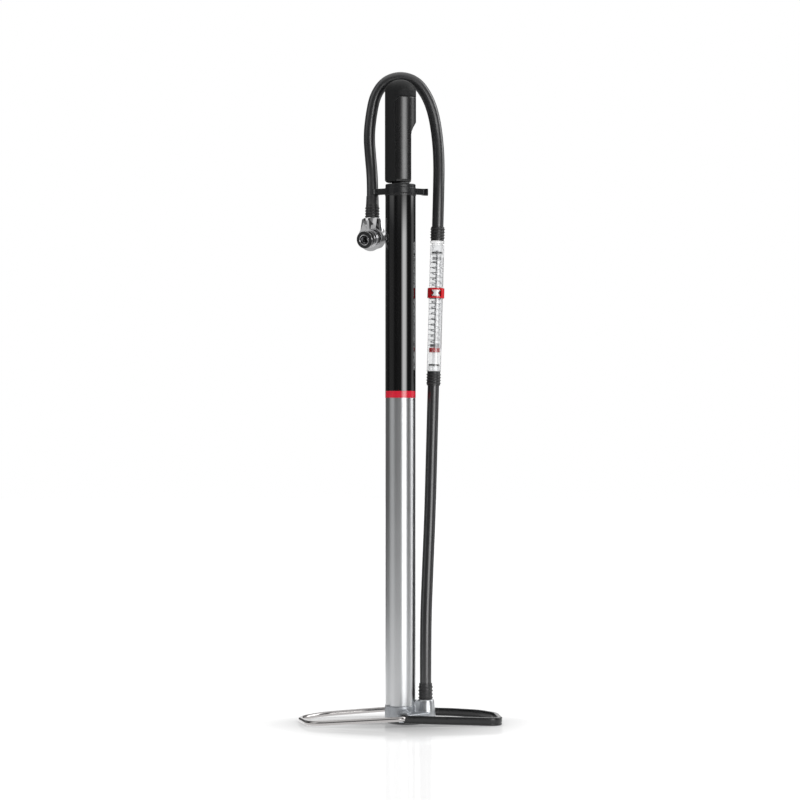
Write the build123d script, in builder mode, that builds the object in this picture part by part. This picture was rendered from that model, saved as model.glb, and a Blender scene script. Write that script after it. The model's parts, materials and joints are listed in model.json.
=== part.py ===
from build123d import *
import math
import os

# Floor bike pump with a folding T-handle, folding feet, an in-line pressure gauge and a clip-on hose head.
# Millimetres. The origin is on the ground on the barrel's axis: +Z up the barrel, +X to the hose and gauge,
# -Y to the front. Every moving piece is shown stowed: handle upright, plunger down, feet open.

# ---------------------------------------------------------------------------------------------------------
# Driving dimensions
# ---------------------------------------------------------------------------------------------------------

FIT = 0.05                    # radial clearance of a running fit
GAP = 0.3                     # air between pieces that move past each other

# Barrel
BARREL_R = 15.0
BARREL_WALL = 1.5
BARREL_FOOT_Z = 16.5          # lower end of the barrel, on the casting
BARREL_HEAD_Z = 525.2         # upper end of the barrel
BAND_Z = 323.8                # lower edge of the coloured band
BAND_HEIGHT = 6.8
SLEEVE_WALL = 0.25            # dark outer sleeve and coloured band

# Cap and clip on top of the barrel
CAP_PLUG_LENGTH = 27.0        # how far the cap's plug goes down into the barrel
LOCK_RING_HEIGHT = 2.4
CLIP_HEIGHT = 6.2
CAP_RIM_HEIGHT = 3.4
WIPER_HEIGHT = 3.8
CAP_RIM_R = BARREL_R + 0.1
LOCK_RING_R = BARREL_R + 0.5
CLIP_RING_R = BARREL_R + 0.4
WIPER_R = 9.0
CRADLE_CENTRE = (BARREL_R + 13.2, 18.5)  # centre of each hose cradle, mirrored on X
CRADLE_WALL = 1.7
CRADLE_WRAP = 172.0           # degrees of the hose that a cradle holds
CLIP_ARM_WIDTH = 5.0

# Plunger
ROD_R = 5.0
ROD_BORE_R = 3.6
PISTON_Z = 26.0               # underside of the piston at the bottom of the stroke
PISTON_LENGTH = 14.0
PISTON_GAP = 0.3              # radial air between the piston and the barrel
SEAL_GROOVE = 4.0             # height of the seal's groove
NUT_HEIGHT = 6.0
NUT_FLATS = 17.0
BUMPER_R = 11.0
BUMPER_HEIGHT = 11.9
HINGE_BLOCK_R = 8.0
HINGE_BLOCK_HALF_WIDTH = 7.0
HINGE_BLOCK_FOOT = 18.0       # from the pivot down to the block's lower end

# Folding handle
HANDLE_R = 15.6
HANDLE_LIFT = 1.6             # from the cap's top up to the handle's foot
HANDLE_LENGTH = 103.0
HANDLE_DOME = 12.4
HANDLE_EDGE = 3.0
PIVOT_RISE = 51.2             # from the handle's foot up to its pivot
PIN_R = 1.6
SLOT_HALF_WIDTH = 10.6
SLOT_BACK_X = -9.5            # inner wall of the handle's slot
GRIP_WALL = 1.5
GRIP_EDGE_X = -4.8            # edge of the soft grip on the handle's sides
GRIP_CAP_LENGTH = 17.8        # from the handle's head down to the soft grip's edge

# Base casting, pad and foot pivots
PAD_HEIGHT = 2.5
PAD_HALF_X = 22.0
PAD_HALF_Y = 31.0
PAD_CENTRE_X = 6.5
SOCKET_R = BARREL_R + 0.5
SPIGOT_HEIGHT = 7.5
LUG_HALF_WIDTH = 6.5
LUG_HEIGHT = 5.5
AXLE_X = 3.5
AXLE_Z = 8.0
AXLE_R = 2.5                  # wire of the wire foot, and its pivot pins
HUB_R = 5.5
HUB_END_Y = 32.0
WASHER_R = 7.4
WASHER_WALL = 2.8
WASHER_TEETH = 12
HOSE_X = BARREL_R + 10.1      # axis of the hose's boss
BOSS_FOOT_R = 9.5
BOSS_HEAD_R = 8.1
BOSS_HEAD_Z = 21.0
BALL_R = 3.0

# Feet
BAR_THICK = 4.6
BAR_HEIGHT = 8.0
BAR_Y = HUB_END_Y + WASHER_WALL + 3.5   # centre of the bar foot's strands
BAR_EYE_R = 6.3
BAR_REACH = 101.5             # from the barrel's axis to the bar foot's end
WIRE_Y = BAR_Y + 8.5          # centre of the wire foot's strands
WIRE_REACH = 103.0            # from the barrel's axis to the wire foot's end
BUSH_WALL = 1.2

# Hoses
HOSE_R = 5.75
HOSE_BORE_R = 2.6
HOSE_SLEEVE_R = 6.5
RIB_R = 7.3
RIBS = 4
BASE_SLEEVE_LENGTH = 17.5
GAUGE_SLEEVE_LENGTH = 14.2

# Gauge: heights are measured up its axis from its lower end
GAUGE_R = 7.0
GAUGE_BORE_R = 5.7
INDICATOR_START = 19.2
INDICATOR_LENGTH = 4.4
GUIDE_ROD_R = 1.0
SPRING_R = 4.2
SPRING_WIRE_R = 0.45
SPRING_PITCH = 5.2
SPRING_START = 24.0
MARKER_START = 73.4
MARKER_LENGTH = 10.2
MARKER_WALL = 1.45
TOP_PLUG_LENGTH = 14.7
LOW_PLUG_LENGTH = 5.5
SEAL_RING = 1.9

# Hose head: lengths along the nozzle's axis are measured from the head's centre
HEAD_CENTRE = (-28.6, 13.0, 484.6)
HEAD_R = 13.0
HEAD_HALF_DEPTH = 5.0
NOZZLE_TURN = 28.0            # degrees from the front towards -X
NOZZLE_DIP = 11.0             # degrees below level
NOZZLE_R = 8.6
NOZZLE_NECK_R = 7.6
NOZZLE_REACH = 17.2
NOZZLE_FLANGE = 3.7
INSERT_R = 5.4
VALVE_R = 4.0                 # bore that takes a tyre valve
RING_LENGTH = 8.0
GASKET_LENGTH = 4.0
KNOB_DEPTH = 4.5
KNOB_GAP = 0.4
NECK_HEAD_R = 10.2
NECK_LENGTH = 18.9

# Hose routes: the points where the straight runs would meet
LOWER_ROUTE = [
    (25.1, 0.0, 38.5),
    (25.0, 0.4, 94.0),
    (27.1, 2.0, 150.0),
    (29.6, 4.4, 210.0),
    (31.3, 6.7, 274.0),
    (33.0, 8.6, 336.0),
]
UPPER_ROUTE = [
    (37.4, 13.4, 495.4),
    (38.35, 14.4, 530.0),
    (38.9, 20.6, 564.0),
    (36.9, 23.8, 590.0),
    (33.0, 24.0, 612.0),
    (26.4, 23.8, 629.0),
    (16.0, 23.6, 642.8),
    (0.0, 23.5, 647.9),
    (-15.6, 23.6, 642.8),
    (-25.4, 23.8, 629.0),
    (-29.3, 24.0, 611.0),
    (-31.9, 24.3, 588.0),
    (-30.2, 24.4, 566.0),
    (-28.7, 22.9, 550.0),
    (-28.2, 19.25, 537.0),
    (-28.2, 18.0, 526.6),
]

# ---------------------------------------------------------------------------------------------------------
# Worked-out dimensions
# ---------------------------------------------------------------------------------------------------------

BARREL_BORE_R = BARREL_R - BARREL_WALL
PISTON_R = BARREL_BORE_R - PISTON_GAP
SKIN_R = BARREL_R + SLEEVE_WALL
CLIP_Z = BARREL_HEAD_Z + LOCK_RING_HEIGHT
RIM_Z = CLIP_Z + CLIP_HEIGHT
CAP_TOP_Z = RIM_Z + CAP_RIM_HEIGHT
WIPER_TOP_Z = CAP_TOP_Z + WIPER_HEIGHT
CAP_FOOT_Z = BARREL_HEAD_Z - CAP_PLUG_LENGTH
NUT_Z = PISTON_Z + PISTON_LENGTH
BUMPER_Z = NUT_Z + NUT_HEIGHT
BUMPER_TOP_Z = BUMPER_Z + BUMPER_HEIGHT
STROKE = CAP_FOOT_Z - GAP - BUMPER_TOP_Z
HANDLE_FOOT_Z = CAP_TOP_Z + HANDLE_LIFT
HANDLE_HEAD_Z = HANDLE_FOOT_Z + HANDLE_LENGTH
PIVOT_Z = HANDLE_FOOT_Z + PIVOT_RISE
GRIP_EDGE_Z = HANDLE_HEAD_Z - GRIP_CAP_LENGTH
MARKER_R = GAUGE_R + FIT + MARKER_WALL
BLOCK_FOOT_Z = PIVOT_Z - HINGE_BLOCK_FOOT
SPIGOT_TOP_Z = BARREL_FOOT_Z + SPIGOT_HEIGHT

LOW_MIN = (Align.CENTER, Align.CENTER, Align.MIN)
UP = Vector(0, 0, 1)
ACROSS = Vector(0, 1, 0)

hose_foot = Vector(*LOWER_ROUTE[-1])
hose_head = Vector(*UPPER_ROUTE[0])
gauge_axis = (hose_head - hose_foot).normalized()
gauge_foot = hose_foot + gauge_axis * GAUGE_SLEEVE_LENGTH
gauge_head = hose_head - gauge_axis * GAUGE_SLEEVE_LENGTH
GAUGE_LENGTH = (gauge_head - gauge_foot).length

head_centre = Vector(*HEAD_CENTRE)
clip_end = Vector(*UPPER_ROUTE[-1])
chuck_axis = (clip_end - head_centre).normalized()
turn = math.radians(NOZZLE_TURN)
dip = math.radians(NOZZLE_DIP)
nozzle_axis = Vector(-math.sin(turn) * math.cos(dip), -math.cos(turn) * math.cos(dip), -math.sin(dip))


# ---------------------------------------------------------------------------------------------------------
# Helpers
# ---------------------------------------------------------------------------------------------------------

def save(piece, label):
    """Label a finished piece and write its STEP file."""
    piece.part.label = label
    export_step(piece.part, f"parts/{label}.step")


def along_plane(origin, axis, distance=0.0):
    """A plane across an axis, at a distance along it, with its local X level."""
    level = ACROSS.cross(axis) if abs(axis.Y) < 0.7 else axis.cross(UP)
    return Plane(origin=origin + axis * distance, x_dir=level, z_dir=axis)


def turned(origin, axis, outline):
    """A solid turned about an axis from (radius, distance) points."""
    across = along_plane(origin, axis)
    lathe = Plane(origin=origin, x_dir=across.x_dir, z_dir=across.x_dir.cross(axis))
    with BuildPart() as solid:
        with BuildSketch(lathe):
            with BuildLine():
                Polyline(*outline, close=True)
            make_face()
        revolve(axis=Axis(origin, axis))
    return solid.part


def ring(origin, axis, outer, inner, start, end):
    """A plain ring about an axis."""
    return turned(origin, axis, [(inner, start), (outer, start), (outer, end), (inner, end)])


def disc(origin, axis, radius, start, end):
    """A plain solid cylinder about an axis."""
    return turned(origin, axis, [(0, start), (radius, start), (radius, end), (0, end)])


def ribbed_outline(body_r, rib_r, bore_r, start, length, ribs):
    """Half section of a ribbed rubber sleeve, as (radius, distance) points."""
    pitch = length / (ribs + 1)
    rib = pitch * 0.45
    points = [(bore_r, start), (body_r, start)]
    for index in range(ribs):
        foot = start + pitch * (index + 0.6)
        points += [(body_r, foot), (rib_r, foot + rib * 0.3)]
        points += [(rib_r, foot + rib * 0.7), (body_r, foot + rib)]
    points += [(body_r, start + length), (bore_r, start + length)]
    return points


def corner_radii(route):
    """Radius of each corner of a route, as large as its two runs allow."""
    points = [Vector(*point) for point in route]
    radii = []
    for before, corner, after in zip(points, points[1:], points[2:]):
        run_in = corner - before
        run_out = after - corner
        half_turn = math.radians(run_in.get_angle(run_out)) / 2
        radii.append(0.45 * min(run_in.length, run_out.length) / math.tan(half_turn))
    return radii


def hose(route, label):
    """A hose as one plain round solid along its route; prints its radii, length and volume."""
    radii = corner_radii(route)
    start = Vector(*route[0])
    first_run = Vector(*route[1]) - start
    with BuildPart() as tube:
        with BuildLine() as path:
            FilletPolyline(*route, radius=radii)
        with BuildSketch(Plane(origin=start, z_dir=first_run)):
            Circle(HOSE_R)
        sweep(path=path.line)
    length = sum(edge.length for edge in path.line.edges())
    expected = math.pi * HOSE_R ** 2 * length
    print(label, "radii", [round(radius) for radius in radii])
    print(label, "length", round(length, 1), "volume", round(tube.part.volume), "expected", round(expected))
    save(tube, label)


os.makedirs("parts", exist_ok=True)
centre = Vector(0, 0, 0)

# ---------------------------------------------------------------------------------------------------------
# Barrel
# ---------------------------------------------------------------------------------------------------------

with BuildPart() as barrel:
    with BuildSketch(Plane.XY.offset(BARREL_FOOT_Z)):
        Circle(BARREL_R)
        Circle(BARREL_BORE_R, mode=Mode.SUBTRACT)
    extrude(amount=BARREL_HEAD_Z - BARREL_FOOT_Z)
    with Locations((BARREL_R, 0, BARREL_FOOT_Z)):
        Box(BARREL_R, 2 * (LUG_HALF_WIDTH + FIT), LUG_HEIGHT + FIT, align=LOW_MIN, mode=Mode.SUBTRACT)
save(barrel, "barrel")

with BuildPart() as barrel_sleeve:
    add(ring(centre, UP, SKIN_R, BARREL_R, BAND_Z + BAND_HEIGHT, BARREL_HEAD_Z))
save(barrel_sleeve, "barrel_sleeve")

with BuildPart() as colour_band:
    add(ring(centre, UP, SKIN_R, BARREL_R, BAND_Z, BAND_Z + BAND_HEIGHT))
save(colour_band, "colour_band")

# ---------------------------------------------------------------------------------------------------------
# Cap, bush, wiper and hose clip
# ---------------------------------------------------------------------------------------------------------

CAP_NECK_R = BARREL_BORE_R - FIT
BUSH_R = ROD_R + FIT + 2.4
BUSH_FOOT_Z = CAP_FOOT_Z + 2.0

with BuildPart() as top_cap:
    outline = [(0, CAP_FOOT_Z), (CAP_NECK_R, CAP_FOOT_Z), (CAP_NECK_R, RIM_Z), (CAP_RIM_R, RIM_Z)]
    outline += [(CAP_RIM_R, CAP_TOP_Z - 0.8), (CAP_RIM_R - 0.8, CAP_TOP_Z), (0, CAP_TOP_Z)]
    add(turned(centre, UP, outline))
    add(disc(centre, UP, ROD_R + 4 * FIT, CAP_FOOT_Z, CAP_TOP_Z), mode=Mode.SUBTRACT)
    add(disc(centre, UP, BUSH_R, BUSH_FOOT_Z, CAP_TOP_Z), mode=Mode.SUBTRACT)
save(top_cap, "top_cap")

with BuildPart() as rod_bush:
    add(ring(centre, UP, BUSH_R, ROD_R + FIT, BUSH_FOOT_Z, CAP_TOP_Z))
save(rod_bush, "rod_bush")

with BuildPart() as rod_wiper:
    lip = ROD_R + FIT
    outline = [(lip, CAP_TOP_Z), (WIPER_R, CAP_TOP_Z), (WIPER_R, CAP_TOP_Z + 1.4)]
    outline += [(lip + 0.9, WIPER_TOP_Z), (lip, WIPER_TOP_Z)]
    add(turned(centre, UP, outline))
save(rod_wiper, "rod_wiper")

with BuildPart() as lock_ring:
    add(ring(centre, UP, LOCK_RING_R, CAP_NECK_R, BARREL_HEAD_Z, CLIP_Z))
    with BuildSketch(Plane.XY.offset(BARREL_HEAD_Z)):
        with PolarLocations(LOCK_RING_R, 40):
            Circle(0.45)
    extrude(amount=LOCK_RING_HEIGHT, mode=Mode.SUBTRACT)
save(lock_ring, "cap_lock_ring")

CRADLE_BORE_R = HOSE_R + 0.2
CRADLE_R = CRADLE_BORE_R + CRADLE_WALL

with BuildPart() as clip_collar:
    with BuildSketch(Plane.XY.offset(CLIP_Z)):
        Circle(CLIP_RING_R)
        for side in (-1, 1):
            cradle_x = side * CRADLE_CENTRE[0]
            cradle_y = CRADLE_CENTRE[1]
            reach = math.hypot(cradle_x, cradle_y)
            heading = math.degrees(math.atan2(cradle_y, cradle_x))
            with Locations(Location((cradle_x / 2, cradle_y / 2, 0), (0, 0, heading))):
                Rectangle(reach - CRADLE_R, CLIP_ARM_WIDTH)
            with Locations((cradle_x, cradle_y)):
                Circle(CRADLE_R)
                Circle(CRADLE_BORE_R, mode=Mode.SUBTRACT)
            mouth = CRADLE_BORE_R * math.cos(math.radians(CRADLE_WRAP / 2))
            with Locations((cradle_x + side * (CRADLE_R - mouth), cradle_y)):
                Rectangle(2 * CRADLE_R, 2 * CRADLE_R, mode=Mode.SUBTRACT)
        Circle(CAP_NECK_R, mode=Mode.SUBTRACT)
    extrude(amount=CLIP_HEIGHT)
    hose_in_clip = along_plane(clip_end, chuck_axis)
    with Locations(hose_in_clip.location):
        Cylinder(CRADLE_BORE_R, 4 * CLIP_HEIGHT, mode=Mode.SUBTRACT)
save(clip_collar, "clip_collar")

# ---------------------------------------------------------------------------------------------------------
# Plunger: rod, piston, seal, nut, bumper and hinge block
# ---------------------------------------------------------------------------------------------------------

ROD_TOP_Z = BLOCK_FOOT_Z + 10.0

with BuildPart() as piston_rod:
    add(ring(centre, UP, ROD_R, ROD_BORE_R, PISTON_Z, ROD_TOP_Z))
save(piston_rod, "piston_rod")

GROOVE_R = PISTON_R - 2.6
GROOVE_Z = PISTON_Z + (PISTON_LENGTH - SEAL_GROOVE) / 2

with BuildPart() as piston_head:
    outline = [(ROD_R, PISTON_Z), (PISTON_R, PISTON_Z), (PISTON_R, GROOVE_Z), (GROOVE_R, GROOVE_Z)]
    outline += [(GROOVE_R, GROOVE_Z + SEAL_GROOVE), (PISTON_R, GROOVE_Z + SEAL_GROOVE)]
    outline += [(PISTON_R, NUT_Z), (ROD_R, NUT_Z)]
    add(turned(centre, UP, outline))
save(piston_head, "piston_head")

with BuildPart() as piston_seal:
    seal_r = BARREL_BORE_R - FIT
    outline = [(GROOVE_R, GROOVE_Z), (seal_r - 0.8, GROOVE_Z), (seal_r, GROOVE_Z + 1.0)]
    outline += [(seal_r, GROOVE_Z + SEAL_GROOVE - 1.0), (seal_r - 0.8, GROOVE_Z + SEAL_GROOVE)]
    outline += [(GROOVE_R, GROOVE_Z + SEAL_GROOVE)]
    add(turned(centre, UP, outline))
save(piston_seal, "piston_seal")

with BuildPart() as piston_nut:
    with BuildSketch(Plane.XY.offset(NUT_Z)):
        RegularPolygon(NUT_FLATS / 2, 6, major_radius=False)
        Circle(ROD_R, mode=Mode.SUBTRACT)
    extrude(amount=NUT_HEIGHT)
    chamfer(piston_nut.edges().group_by(Axis.Z)[-1].filter_by(GeomType.LINE), length=0.6)
save(piston_nut, "piston_nut")

with BuildPart() as bumper:
    outline = [(ROD_R, BUMPER_Z), (BUMPER_R, BUMPER_Z), (BUMPER_R, BUMPER_TOP_Z - 2)]
    outline += [(BUMPER_R - 2, BUMPER_TOP_Z), (ROD_R, BUMPER_TOP_Z)]
    add(turned(centre, UP, outline))
save(bumper, "stroke_bumper")

with BuildPart() as hinge_block:
    with Locations((0, 0, BLOCK_FOOT_Z)):
        Cylinder(HINGE_BLOCK_R, HINGE_BLOCK_FOOT, align=LOW_MIN)
    with Locations((0, 0, PIVOT_Z)):
        Sphere(HINGE_BLOCK_R)
    with Locations((0, 0, PIVOT_Z)):
        Box(4 * HINGE_BLOCK_R, 2 * HINGE_BLOCK_HALF_WIDTH, 4 * HINGE_BLOCK_FOOT, mode=Mode.INTERSECT)
    with Locations((0, 0, BLOCK_FOOT_Z)):
        Cylinder(ROD_R, ROD_TOP_Z - BLOCK_FOOT_Z, align=LOW_MIN, mode=Mode.SUBTRACT)
    add(disc(Vector(0, 0, PIVOT_Z), ACROSS, PIN_R + FIT, -HANDLE_R, HANDLE_R), mode=Mode.SUBTRACT)
save(hinge_block, "hinge_block")

with BuildPart() as handle_washers:
    for side in (-1, 1):
        inner = HINGE_BLOCK_HALF_WIDTH
        outer = SLOT_HALF_WIDTH - FIT
        washer = ring(Vector(0, 0, PIVOT_Z), ACROSS * side, HINGE_BLOCK_R - 1, PIN_R + FIT, inner, outer)
        add(washer)
save(handle_washers, "handle_washers")

# ---------------------------------------------------------------------------------------------------------
# Folding handle: hard body, soft grip and pivot pin
# ---------------------------------------------------------------------------------------------------------


def handle_form(inset):
    """The handle's turned outer form, moved inwards by an inset."""
    radius = HANDLE_R - inset
    foot = HANDLE_FOOT_Z + inset
    shoulder = HANDLE_HEAD_Z - HANDLE_DOME
    with BuildPart() as form:
        with BuildSketch(Plane.XZ):
            with BuildLine():
                Line((0, foot), (radius - HANDLE_EDGE, foot))
                TangentArc((radius - HANDLE_EDGE, foot), (radius, foot + HANDLE_EDGE), tangent=(1, 0))
                Line((radius, foot + HANDLE_EDGE), (radius, shoulder))
                Spline((radius, shoulder), (0, HANDLE_HEAD_Z - inset), tangents=[(0, 1), (-1, 0)])
                Line((0, HANDLE_HEAD_Z - inset), (0, foot))
            make_face()
        revolve(axis=Axis.Z)
    return form.part


def handle_slot():
    """The space in the handle that the rod and its hinge block fold into."""
    arch_z = PIVOT_Z - 1.8
    with BuildPart() as slot:
        with BuildSketch(Plane.YZ.offset(SLOT_BACK_X)):
            with Locations((0, arch_z)):
                Circle(SLOT_HALF_WIDTH)
            with Locations((0, (arch_z + HANDLE_FOOT_Z - 10) / 2)):
                Rectangle(2 * SLOT_HALF_WIDTH, arch_z - HANDLE_FOOT_Z + 10)
        extrude(amount=2 * HANDLE_R)
        washer_seat_r = HINGE_BLOCK_R - 1 + GAP
        add(disc(Vector(0, 0, PIVOT_Z), ACROSS, washer_seat_r, -SLOT_HALF_WIDTH, SLOT_HALF_WIDTH))
    return slot.part


def grip_region():
    """The side and the dome of the handle that the soft grip covers."""
    with BuildPart() as region:
        with BuildSketch(Plane.XZ.offset(-2 * HANDLE_R)):
            with Locations(((GRIP_EDGE_X - 2 * HANDLE_R) / 2, (HANDLE_FOOT_Z + HANDLE_HEAD_Z) / 2)):
                Rectangle(2 * HANDLE_R + GRIP_EDGE_X, 2 * (HANDLE_HEAD_Z - HANDLE_FOOT_Z))
            with Locations((0, GRIP_EDGE_Z + HANDLE_R)):
                Rectangle(4 * HANDLE_R, 2 * HANDLE_R)
        extrude(amount=4 * HANDLE_R)
    return region.part


with BuildPart() as handle_grip:
    add(handle_form(0))
    add(handle_form(GRIP_WALL), mode=Mode.SUBTRACT)
    add(grip_region(), mode=Mode.INTERSECT)
    add(handle_slot(), mode=Mode.SUBTRACT)
save(handle_grip, "handle_grip")

with BuildPart() as handle_body:
    add(handle_form(0))
    add(grip_region(), mode=Mode.SUBTRACT)
    add(handle_form(GRIP_WALL))
    add(handle_slot(), mode=Mode.SUBTRACT)
    add(disc(Vector(0, 0, PIVOT_Z), ACROSS, PIN_R, -HANDLE_R, HANDLE_R), mode=Mode.SUBTRACT)
save(handle_body, "handle_body")

with BuildPart() as handle_pin:
    add(disc(Vector(0, 0, PIVOT_Z), ACROSS, PIN_R, 0.2 - HANDLE_R, HANDLE_R - 0.2))
save(handle_pin, "handle_pin")

# ---------------------------------------------------------------------------------------------------------
# Base: casting, pad, seal ring, check valve, hose barb and detent washers
# ---------------------------------------------------------------------------------------------------------

axle_centre = Vector(AXLE_X, 0, AXLE_Z)
SEAT_Z = 8.0
VALVE_BORE_R = BALL_R + 0.5
BARB_THREAD_R = 4.5
BARB_FOOT_Z = 16.4
PIN_DEPTH = 16.0              # inner end of each pivot pin's bore, from the middle
WEB_Z = PAD_HEIGHT + 7.5      # top of the web plates between the hubs and the hose boss


def web_plate():
    """The plate that ties the two hubs to the hose's boss, with sloping sides."""
    hub_in = AXLE_X - HUB_R + 0.5
    hub_out = AXLE_X + HUB_R - 0.5
    boss_x = HOSE_X + BOSS_FOOT_R * 0.6
    boss_y = BOSS_FOOT_R * 0.75
    with BuildPart() as plate:
        with BuildSketch(Plane.XY.offset(PAD_HEIGHT)):
            with BuildLine():
                Polyline(
                    (hub_in, -HUB_END_Y), (hub_out, -HUB_END_Y), (boss_x, -boss_y),
                    (boss_x, boss_y), (hub_out, HUB_END_Y), (hub_in, HUB_END_Y), close=True,
                )
            make_face()
        extrude(amount=WEB_Z - PAD_HEIGHT)
    return plate.part


with BuildPart() as base_casting:
    with Locations((0, 0, PAD_HEIGHT)):
        Cylinder(SOCKET_R, BARREL_FOOT_Z - PAD_HEIGHT, align=LOW_MIN)
    with Locations((-SOCKET_R / 2, 0, PAD_HEIGHT)):
        Box(SOCKET_R, 1.5 * SOCKET_R, BARREL_FOOT_Z - PAD_HEIGHT, align=LOW_MIN)
    with Locations((0, 0, PAD_HEIGHT)):
        Cylinder(BARREL_BORE_R - FIT, SPIGOT_TOP_Z - PAD_HEIGHT, align=LOW_MIN)
    add(turned(Vector(HOSE_X, 0, 0), UP, [
        (0, PAD_HEIGHT), (BOSS_FOOT_R, PAD_HEIGHT), (BOSS_FOOT_R, PAD_HEIGHT + 3),
        (BOSS_HEAD_R, BOSS_HEAD_Z), (0, BOSS_HEAD_Z),
    ]))
    with BuildSketch(Plane.XZ):
        with BuildLine():
            Polyline((SOCKET_R - 6, PAD_HEIGHT), (HOSE_X, PAD_HEIGHT), (HOSE_X, BOSS_HEAD_Z - 1.5),
                     (BARREL_R - FIT, BARREL_FOOT_Z + LUG_HEIGHT),
                     (SOCKET_R - 6, BARREL_FOOT_Z - 0.5), close=True)
        make_face()
    extrude(amount=LUG_HALF_WIDTH, both=True)
    add(disc(centre, UP, BARREL_BORE_R - FIT, SPIGOT_TOP_Z, BOSS_HEAD_Z + 20), mode=Mode.SUBTRACT)
    add(disc(axle_centre, ACROSS, HUB_R, -HUB_END_Y, HUB_END_Y))
    add(web_plate())
    # seal ring groove round the spigot
    groove_z = BARREL_FOOT_Z + 3.0
    groove = ring(centre, UP, BARREL_BORE_R, BARREL_BORE_R - SEAL_RING, groove_z, groove_z + SEAL_RING)
    add(groove, mode=Mode.SUBTRACT)
    # pivot bores in the two hubs
    for side in (-1, 1):
        add(disc(axle_centre, ACROSS * side, AXLE_R + FIT, PIN_DEPTH, HUB_END_Y), mode=Mode.SUBTRACT)
    # air way: down from the barrel, across, and up through the check valve
    add(disc(Vector(0, 0, 0), UP, 2.5, PAD_HEIGHT + 3.5, SPIGOT_TOP_Z), mode=Mode.SUBTRACT)
    add(disc(Vector(0, 0, PAD_HEIGHT + 3.5), Vector(1, 0, 0), 1.5, 0, HOSE_X), mode=Mode.SUBTRACT)
    add(disc(Vector(HOSE_X, 0, 0), UP, 1.8, PAD_HEIGHT + 2, SEAT_Z), mode=Mode.SUBTRACT)
    add(disc(Vector(HOSE_X, 0, 0), UP, VALVE_BORE_R, SEAT_Z, BARB_FOOT_Z), mode=Mode.SUBTRACT)
    add(disc(Vector(HOSE_X, 0, 0), UP, BARB_THREAD_R, BARB_FOOT_Z, BOSS_HEAD_Z), mode=Mode.SUBTRACT)
save(base_casting, "base_casting")

with BuildPart() as barrel_seal:
    add(ring(centre, UP, BARREL_BORE_R, BARREL_BORE_R - SEAL_RING, groove_z, groove_z + SEAL_RING))
save(barrel_seal, "barrel_seal_ring")

with BuildPart() as base_pad:
    with BuildSketch(Plane.XY):
        with Locations((PAD_CENTRE_X, 0)):
            Ellipse(PAD_HALF_X, PAD_HALF_Y)
        with Locations((HOSE_X, 0)):
            Circle(BOSS_FOOT_R)
    extrude(amount=PAD_HEIGHT)
    fillet(base_pad.edges().group_by(Axis.Z)[0], radius=0.6)
save(base_pad, "base_pad")

valve_axis = Vector(HOSE_X, 0, 0)
SEAT_HEIGHT = 1.2

with BuildPart() as valve_seat:
    add(ring(valve_axis, UP, VALVE_BORE_R, 1.8, SEAT_Z, SEAT_Z + SEAT_HEIGHT))
save(valve_seat, "check_valve_seat")

# the ball sits on the seat's inner edge
ball_drop = math.sqrt(BALL_R ** 2 - 1.8 ** 2)
ball_z = SEAT_Z + SEAT_HEIGHT + ball_drop + 0.02

with BuildPart() as valve_ball:
    with Locations((HOSE_X, 0, ball_z)):
        Sphere(BALL_R)
save(valve_ball, "check_valve_ball")

with BuildPart() as hose_barb:
    outline = [(1.6, BARB_FOOT_Z), (BARB_THREAD_R, BARB_FOOT_Z)]
    outline += [(BARB_THREAD_R, BOSS_HEAD_Z), (3.0, BOSS_HEAD_Z)]
    outline += [(3.0, BOSS_HEAD_Z + 13), (2.4, BOSS_HEAD_Z + 15), (1.6, BOSS_HEAD_Z + 15)]
    add(turned(valve_axis, UP, outline))
save(hose_barb, "base_hose_barb")

with BuildPart() as base_sleeve:
    outline = ribbed_outline(HOSE_SLEEVE_R, RIB_R, 3.0, BOSS_HEAD_Z, BASE_SLEEVE_LENGTH, RIBS)
    add(turned(valve_axis, UP, outline))
save(base_sleeve, "base_hose_sleeve")

with BuildPart() as detent_washers:
    for side in (-1, 1):
        add(ring(axle_centre, ACROSS * side, WASHER_R, AXLE_R + FIT, HUB_END_Y, HUB_END_Y + WASHER_WALL))
        with BuildSketch(along_plane(axle_centre, ACROSS * side, HUB_END_Y + WASHER_WALL)):
            with PolarLocations(WASHER_R, WASHER_TEETH):
                Rectangle(2.4, 1.3)
        extrude(amount=-WASHER_WALL / 2, mode=Mode.SUBTRACT)
save(detent_washers, "detent_washers")

# ---------------------------------------------------------------------------------------------------------
# Feet: a bent wire foot and a bar foot on one pivot axis
# ---------------------------------------------------------------------------------------------------------

WIRE_SLOPE = (AXLE_Z - AXLE_R) / (WIRE_REACH + AXLE_X - AXLE_R)
wire_out = Vector(-1, 0, -WIRE_SLOPE).normalized()
wire_plane = Plane(origin=axle_centre, x_dir=wire_out, z_dir=wire_out.cross(ACROSS))

with BuildPart() as wire_foot:
    reach = (WIRE_REACH + AXLE_X - AXLE_R) * math.hypot(1, WIRE_SLOPE)
    with BuildLine(wire_plane) as wire_path:
        FilletPolyline(
            (0, -PIN_DEPTH - GAP), (0, -WIRE_Y), (reach - 11, -WIRE_Y), (reach + 1.6, 6),
            (reach - 23, WIRE_Y - 13.8), (18, WIRE_Y), (0, WIRE_Y), (0, PIN_DEPTH + GAP),
            radius=[5.3, 20, 26, 40, 30, 5.3],
        )
    with BuildSketch(Plane(origin=wire_path.line @ 0, z_dir=wire_path.line % 0)):
        Circle(AXLE_R)
    sweep(path=wire_path.line, transition=Transition.ROUND)
save(wire_foot, "wire_foot")

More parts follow.
